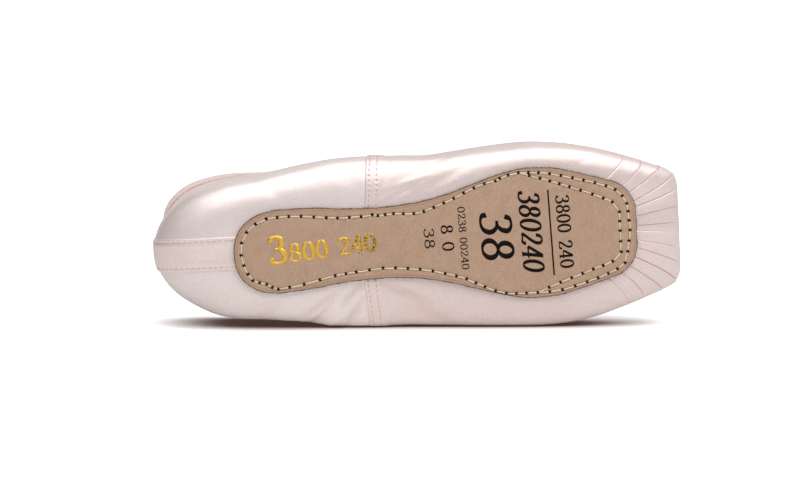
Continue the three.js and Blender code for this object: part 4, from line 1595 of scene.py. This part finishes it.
def stamp(text, start, end, high, slant=0.0, thick=PEN_THICK, tall=None):
    """Strokes of a number from start to end along its foot, both x from the heel and mm to the right."""
    start, end = np.array(start, float), np.array(end, float)
    span = np.linalg.norm(end - start)
    run = (end - start) / span
    rise = np.array([-run[1], run[0]])
    heights = tall or [high] * len(text)
    widths = np.array([NUMERAL_WIDE * (h if c != " " else h * 0.7) for c, h in zip(text, heights)])
    place_at = np.r_[0, np.cumsum(widths)] * span / widths.sum()
    made = []
    for c, h, at, room in zip(text, heights, place_at, np.diff(place_at)):
        for stroke in NUMERALS.get(c, ()):
            path = smooth_path(stroke)
            left, right = pen_stroke(path * (room / NUMERAL_WIDE / h * 0.94, 1), PEN_THIN, thick)
            for edge_line in (left, right):
                edge_line[:, 0] += slant * edge_line[:, 1]
            lines = [start + run * (at + h * p[:, :1]) + rise * h * p[:, 1:] for p in (left, right)]
            made.append(dropped(*[np.column_stack([p[:, 0], -p[:, 1]]) for p in lines]))
    return made


# %% Gold foil and black ink
def foil_material():
    """Hot-stamped foil: bright metal on the fibres' tops, with worn dark flecks, and a painted darker
    reflection towards the ball.
    """
    made, tree = new_material("gold_foil")
    far = place(tree, "ShaderNodeSeparateXYZ", {0: object_spot(tree)}).outputs[0]
    # painted reflection: the foil is painted darker towards the ball, standing in for its dimmer reflection
    # there; the grain adds worn flecks
    reflection_dimming = ranged(tree, far, -0.05, -0.015, 0.0, 0.34)
    grain = noise(tree, object_spot(tree), 1500.0, 3.0)
    worn = ranged(tree, math_node(tree, "ADD", grain, reflection_dimming), 0.66, 0.9)
    gold = mix_colour(tree, grain, colour(250, 205, 84), colour(226, 168, 52))
    finish_material(tree, {
        "Base Color": mix_colour(tree, worn, gold, colour(66, 48, 24)), "Metallic": 0.75,
        "Roughness": 0.38, "Normal": bumped(tree, grain, 0.5, 0.0002)})
    return made


def ink_material():
    made, tree = new_material("black_ink")
    soaked = use_group(tree, nap, {
        "Colour": colour(12, 9, 9), "Deep Colour": colour(30, 22, 19), "Fibres": 2600.0})
    finish_material(tree, {
        "Base Color": soaked.outputs[0], "Roughness": 0.9, "Specular IOR Level": 0.1,
        "Normal": bumped(tree, soaked.outputs["Height"], 0.4, 0.0002)})
    return made


gold_parts = stamp("3800 240", (51.9, -6.1), (100.4, -2.5), 8.2, thick=0.2,
                   tall=[12.6, 8.2, 8.2, 8.2, 8.2, 8.0, 8.0, 8.0])
add_mesh("gold_numbers", *join(gold_parts), foil_material(), "suede", pressed=False)
black_parts = []
for text, low, start, end, high, slant in (
    ("38", 121.0, 6.2, -3.6, 4.6, 0.0), ("8 0", 128.7, 7.2, -5.0, 5.4, 0.0),
    ("0238 00240", 136.7, 14.9, -13.5, 3.4, 0.0), ("38", 146.1, 12.2, -10.8, 14.6, 0.12),
    ("380240", 164.1, 20.6, -16.0, 9.6, 0.18), ("3800 240", 180.8, 17.5, -15.7, 6.2, 0.0),
):
    tilt = 0.0287 * (start - end)
    black_parts += stamp(text, (low - tilt / 2, start), (low + tilt / 2, end), high, slant)
rule_way = np.linspace(0, 1, 60)[:, None]
rule = np.array((177.2, -20.2)) * (1 - rule_way) + np.array((178.3, 18.1)) * rule_way
black_parts.append(dropped(rule - (0.35, 0), rule + (0.35, 0)))
add_mesh("black_numbers", *join(black_parts), ink_material(), "suede", pressed=False)

# %% [markdown]
# The shoe lies on white paper under a bright white room, as a shop shows its goods. Paper that is only
# lit looks grey, so it also glows a little where the shoe doesn't shade it. Ambient Occlusion tells
# where that is: it counts how much of the sky each place on the paper sees. Light that reaches the
# crack under the shoe has bounced off pink satin first, so the paper there is tinted pink-brown.

# %% Floor
def floor_material():
    """White paper that fades into the white behind, with a warm narrow shadow under the shoe."""
    made, tree = new_material("floor_paper")
    shelter = place(tree, "ShaderNodeAmbientOcclusion", {"Distance": 0.05}).outputs["AO"]
    open_sky = ranged(tree, shelter, 0.15, 0.95)
    seen = place(tree, "ShaderNodeLightPath").outputs["Is Camera Ray"]
    paper = (0.83, 0.83, 0.83, 1)
    shade = mix_colour(tree, open_sky, colour(120, 90, 80), paper)
    glow = mix_colour(tree, open_sky, colour(58, 42, 37), (1, 1, 1, 1))
    finish_material(tree, {
        "Base Color": mix_colour(tree, seen, paper, shade), "Roughness": 0.9, "Specular IOR Level": 0.2,
        "Emission Color": glow, "Emission Strength": seen})
    return made


bpy.ops.mesh.primitive_plane_add(size=6.0, location=(0, 0, 0))
floor = bpy.context.object
floor.name = "floor"
floor.data.materials.append(floor_material())

# %% [markdown]
# The light is soft and comes from everywhere, as in a white tent: a big softbox above and in front,
# and a world whose brightness changes with height. The satin mirrors that world, so its dark places
# are dark places in the room: one dark screen off to the left gives the shadow on the heel.

# %% Light
scene = bpy.context.scene
scene.view_settings.view_transform = "Standard"
world = bpy.data.worlds.new("studio")
scene.world = world
world.use_nodes = True
tree = world.node_tree
tree.nodes.clear()
way = place(tree, "ShaderNodeTexCoord").outputs["Generated"]
parts_of_way = place(tree, "ShaderNodeSeparateXYZ", {0: way})
height = math_node(tree, "MULTIPLY_ADD", parts_of_way.outputs[2], 0.5, 0.5)
stops = {  # brightness of the studio by height, 0 straight down and 1 straight up
    "behind": ((0.0, 0.5), (0.5, 0.9), (0.62, 0.95), (0.8, 0.9), (1.0, 0.9)),
    "before": ((0.0, 0.5), (0.5, 0.45), (0.62, 0.5), (0.8, 0.68), (1.0, 0.8)),
}
ramps = {}
for where in stops:
    ramp = place(tree, "ShaderNodeValToRGB", {0: height})
    ramps[where] = ramp.outputs[0]
    elements = ramp.color_ramp.elements
    elements.remove(elements[0])
    for i, (at, grey) in enumerate(stops[where]):
        stop = elements[0] if i == 0 else elements.new(at)
        stop.position = at
        stop.color = (grey, grey, grey, 1)
forward = math_node(tree, "MULTIPLY_ADD", parts_of_way.outputs[1], -0.5, 0.5)
room = mix_colour(tree, forward, ramps["behind"], ramps["before"])
to_screen = Vector((-0.87, -0.05, 0.48)).normalized()
screen = place(tree, "ShaderNodeVectorMath", {0: way, 1: to_screen}, operation="DOT_PRODUCT").outputs["Value"]
room = mix_colour(tree, ranged(tree, screen, 0.66, 0.84), room, (0.0, 0.0, 0.0, 1))
seen = place(tree, "ShaderNodeLightPath").outputs["Is Camera Ray"]
studio = place(tree, "ShaderNodeBackground", {"Color": room, "Strength": 0.65})
white = place(tree, "ShaderNodeBackground", {"Color": (1, 1, 1, 1), "Strength": 1.0})
both = place(tree, "ShaderNodeMixShader", {0: seen, 1: studio.outputs[0], 2: white.outputs[0]})
place(tree, "ShaderNodeOutputWorld", {"Surface": both.outputs[0]})


def look(thing, where, aim):
    scene.collection.objects.link(thing)
    thing.location = where
    thing.rotation_euler = (Vector(aim) - Vector(where)).to_track_quat("-Z", "Y").to_euler()


light = bpy.data.lights.new("overhead", "AREA")
light.shape = "RECTANGLE"
light.size, light.size_y = 2.4, 1.5
light.energy = 27
look(bpy.data.objects.new("overhead", light), (0.1, -0.75, 1.3), (0, 0, 0.03))

# %% [markdown]
# The shoe lies on its side with the sole to the viewer. The camera looks from a little above the
# floor through a long lens, so both ends of the shoe keep nearly the same scale.

# %% Camera
low, high = (Vector(c) for c in cad_box)
centre = (low + high) / 2
DISTANCE, FIELD = 0.9, 0.3620
AZIMUTH, ELEVATION = -3.5, 5.0
a, e = math.radians(AZIMUTH), math.radians(ELEVATION)
back = Vector((math.sin(a) * math.cos(e), -math.cos(a) * math.cos(e), math.sin(e)))
aim = centre + Vector((-0.010, 0, -0.0086))
camera = bpy.data.cameras.new("camera")
camera.sensor_width = 36
camera.lens = 36 * DISTANCE / FIELD
camera.clip_start = 0.01
eye = bpy.data.objects.new("camera", camera)
look(eye, aim + back * DISTANCE, aim)
scene.camera = eye
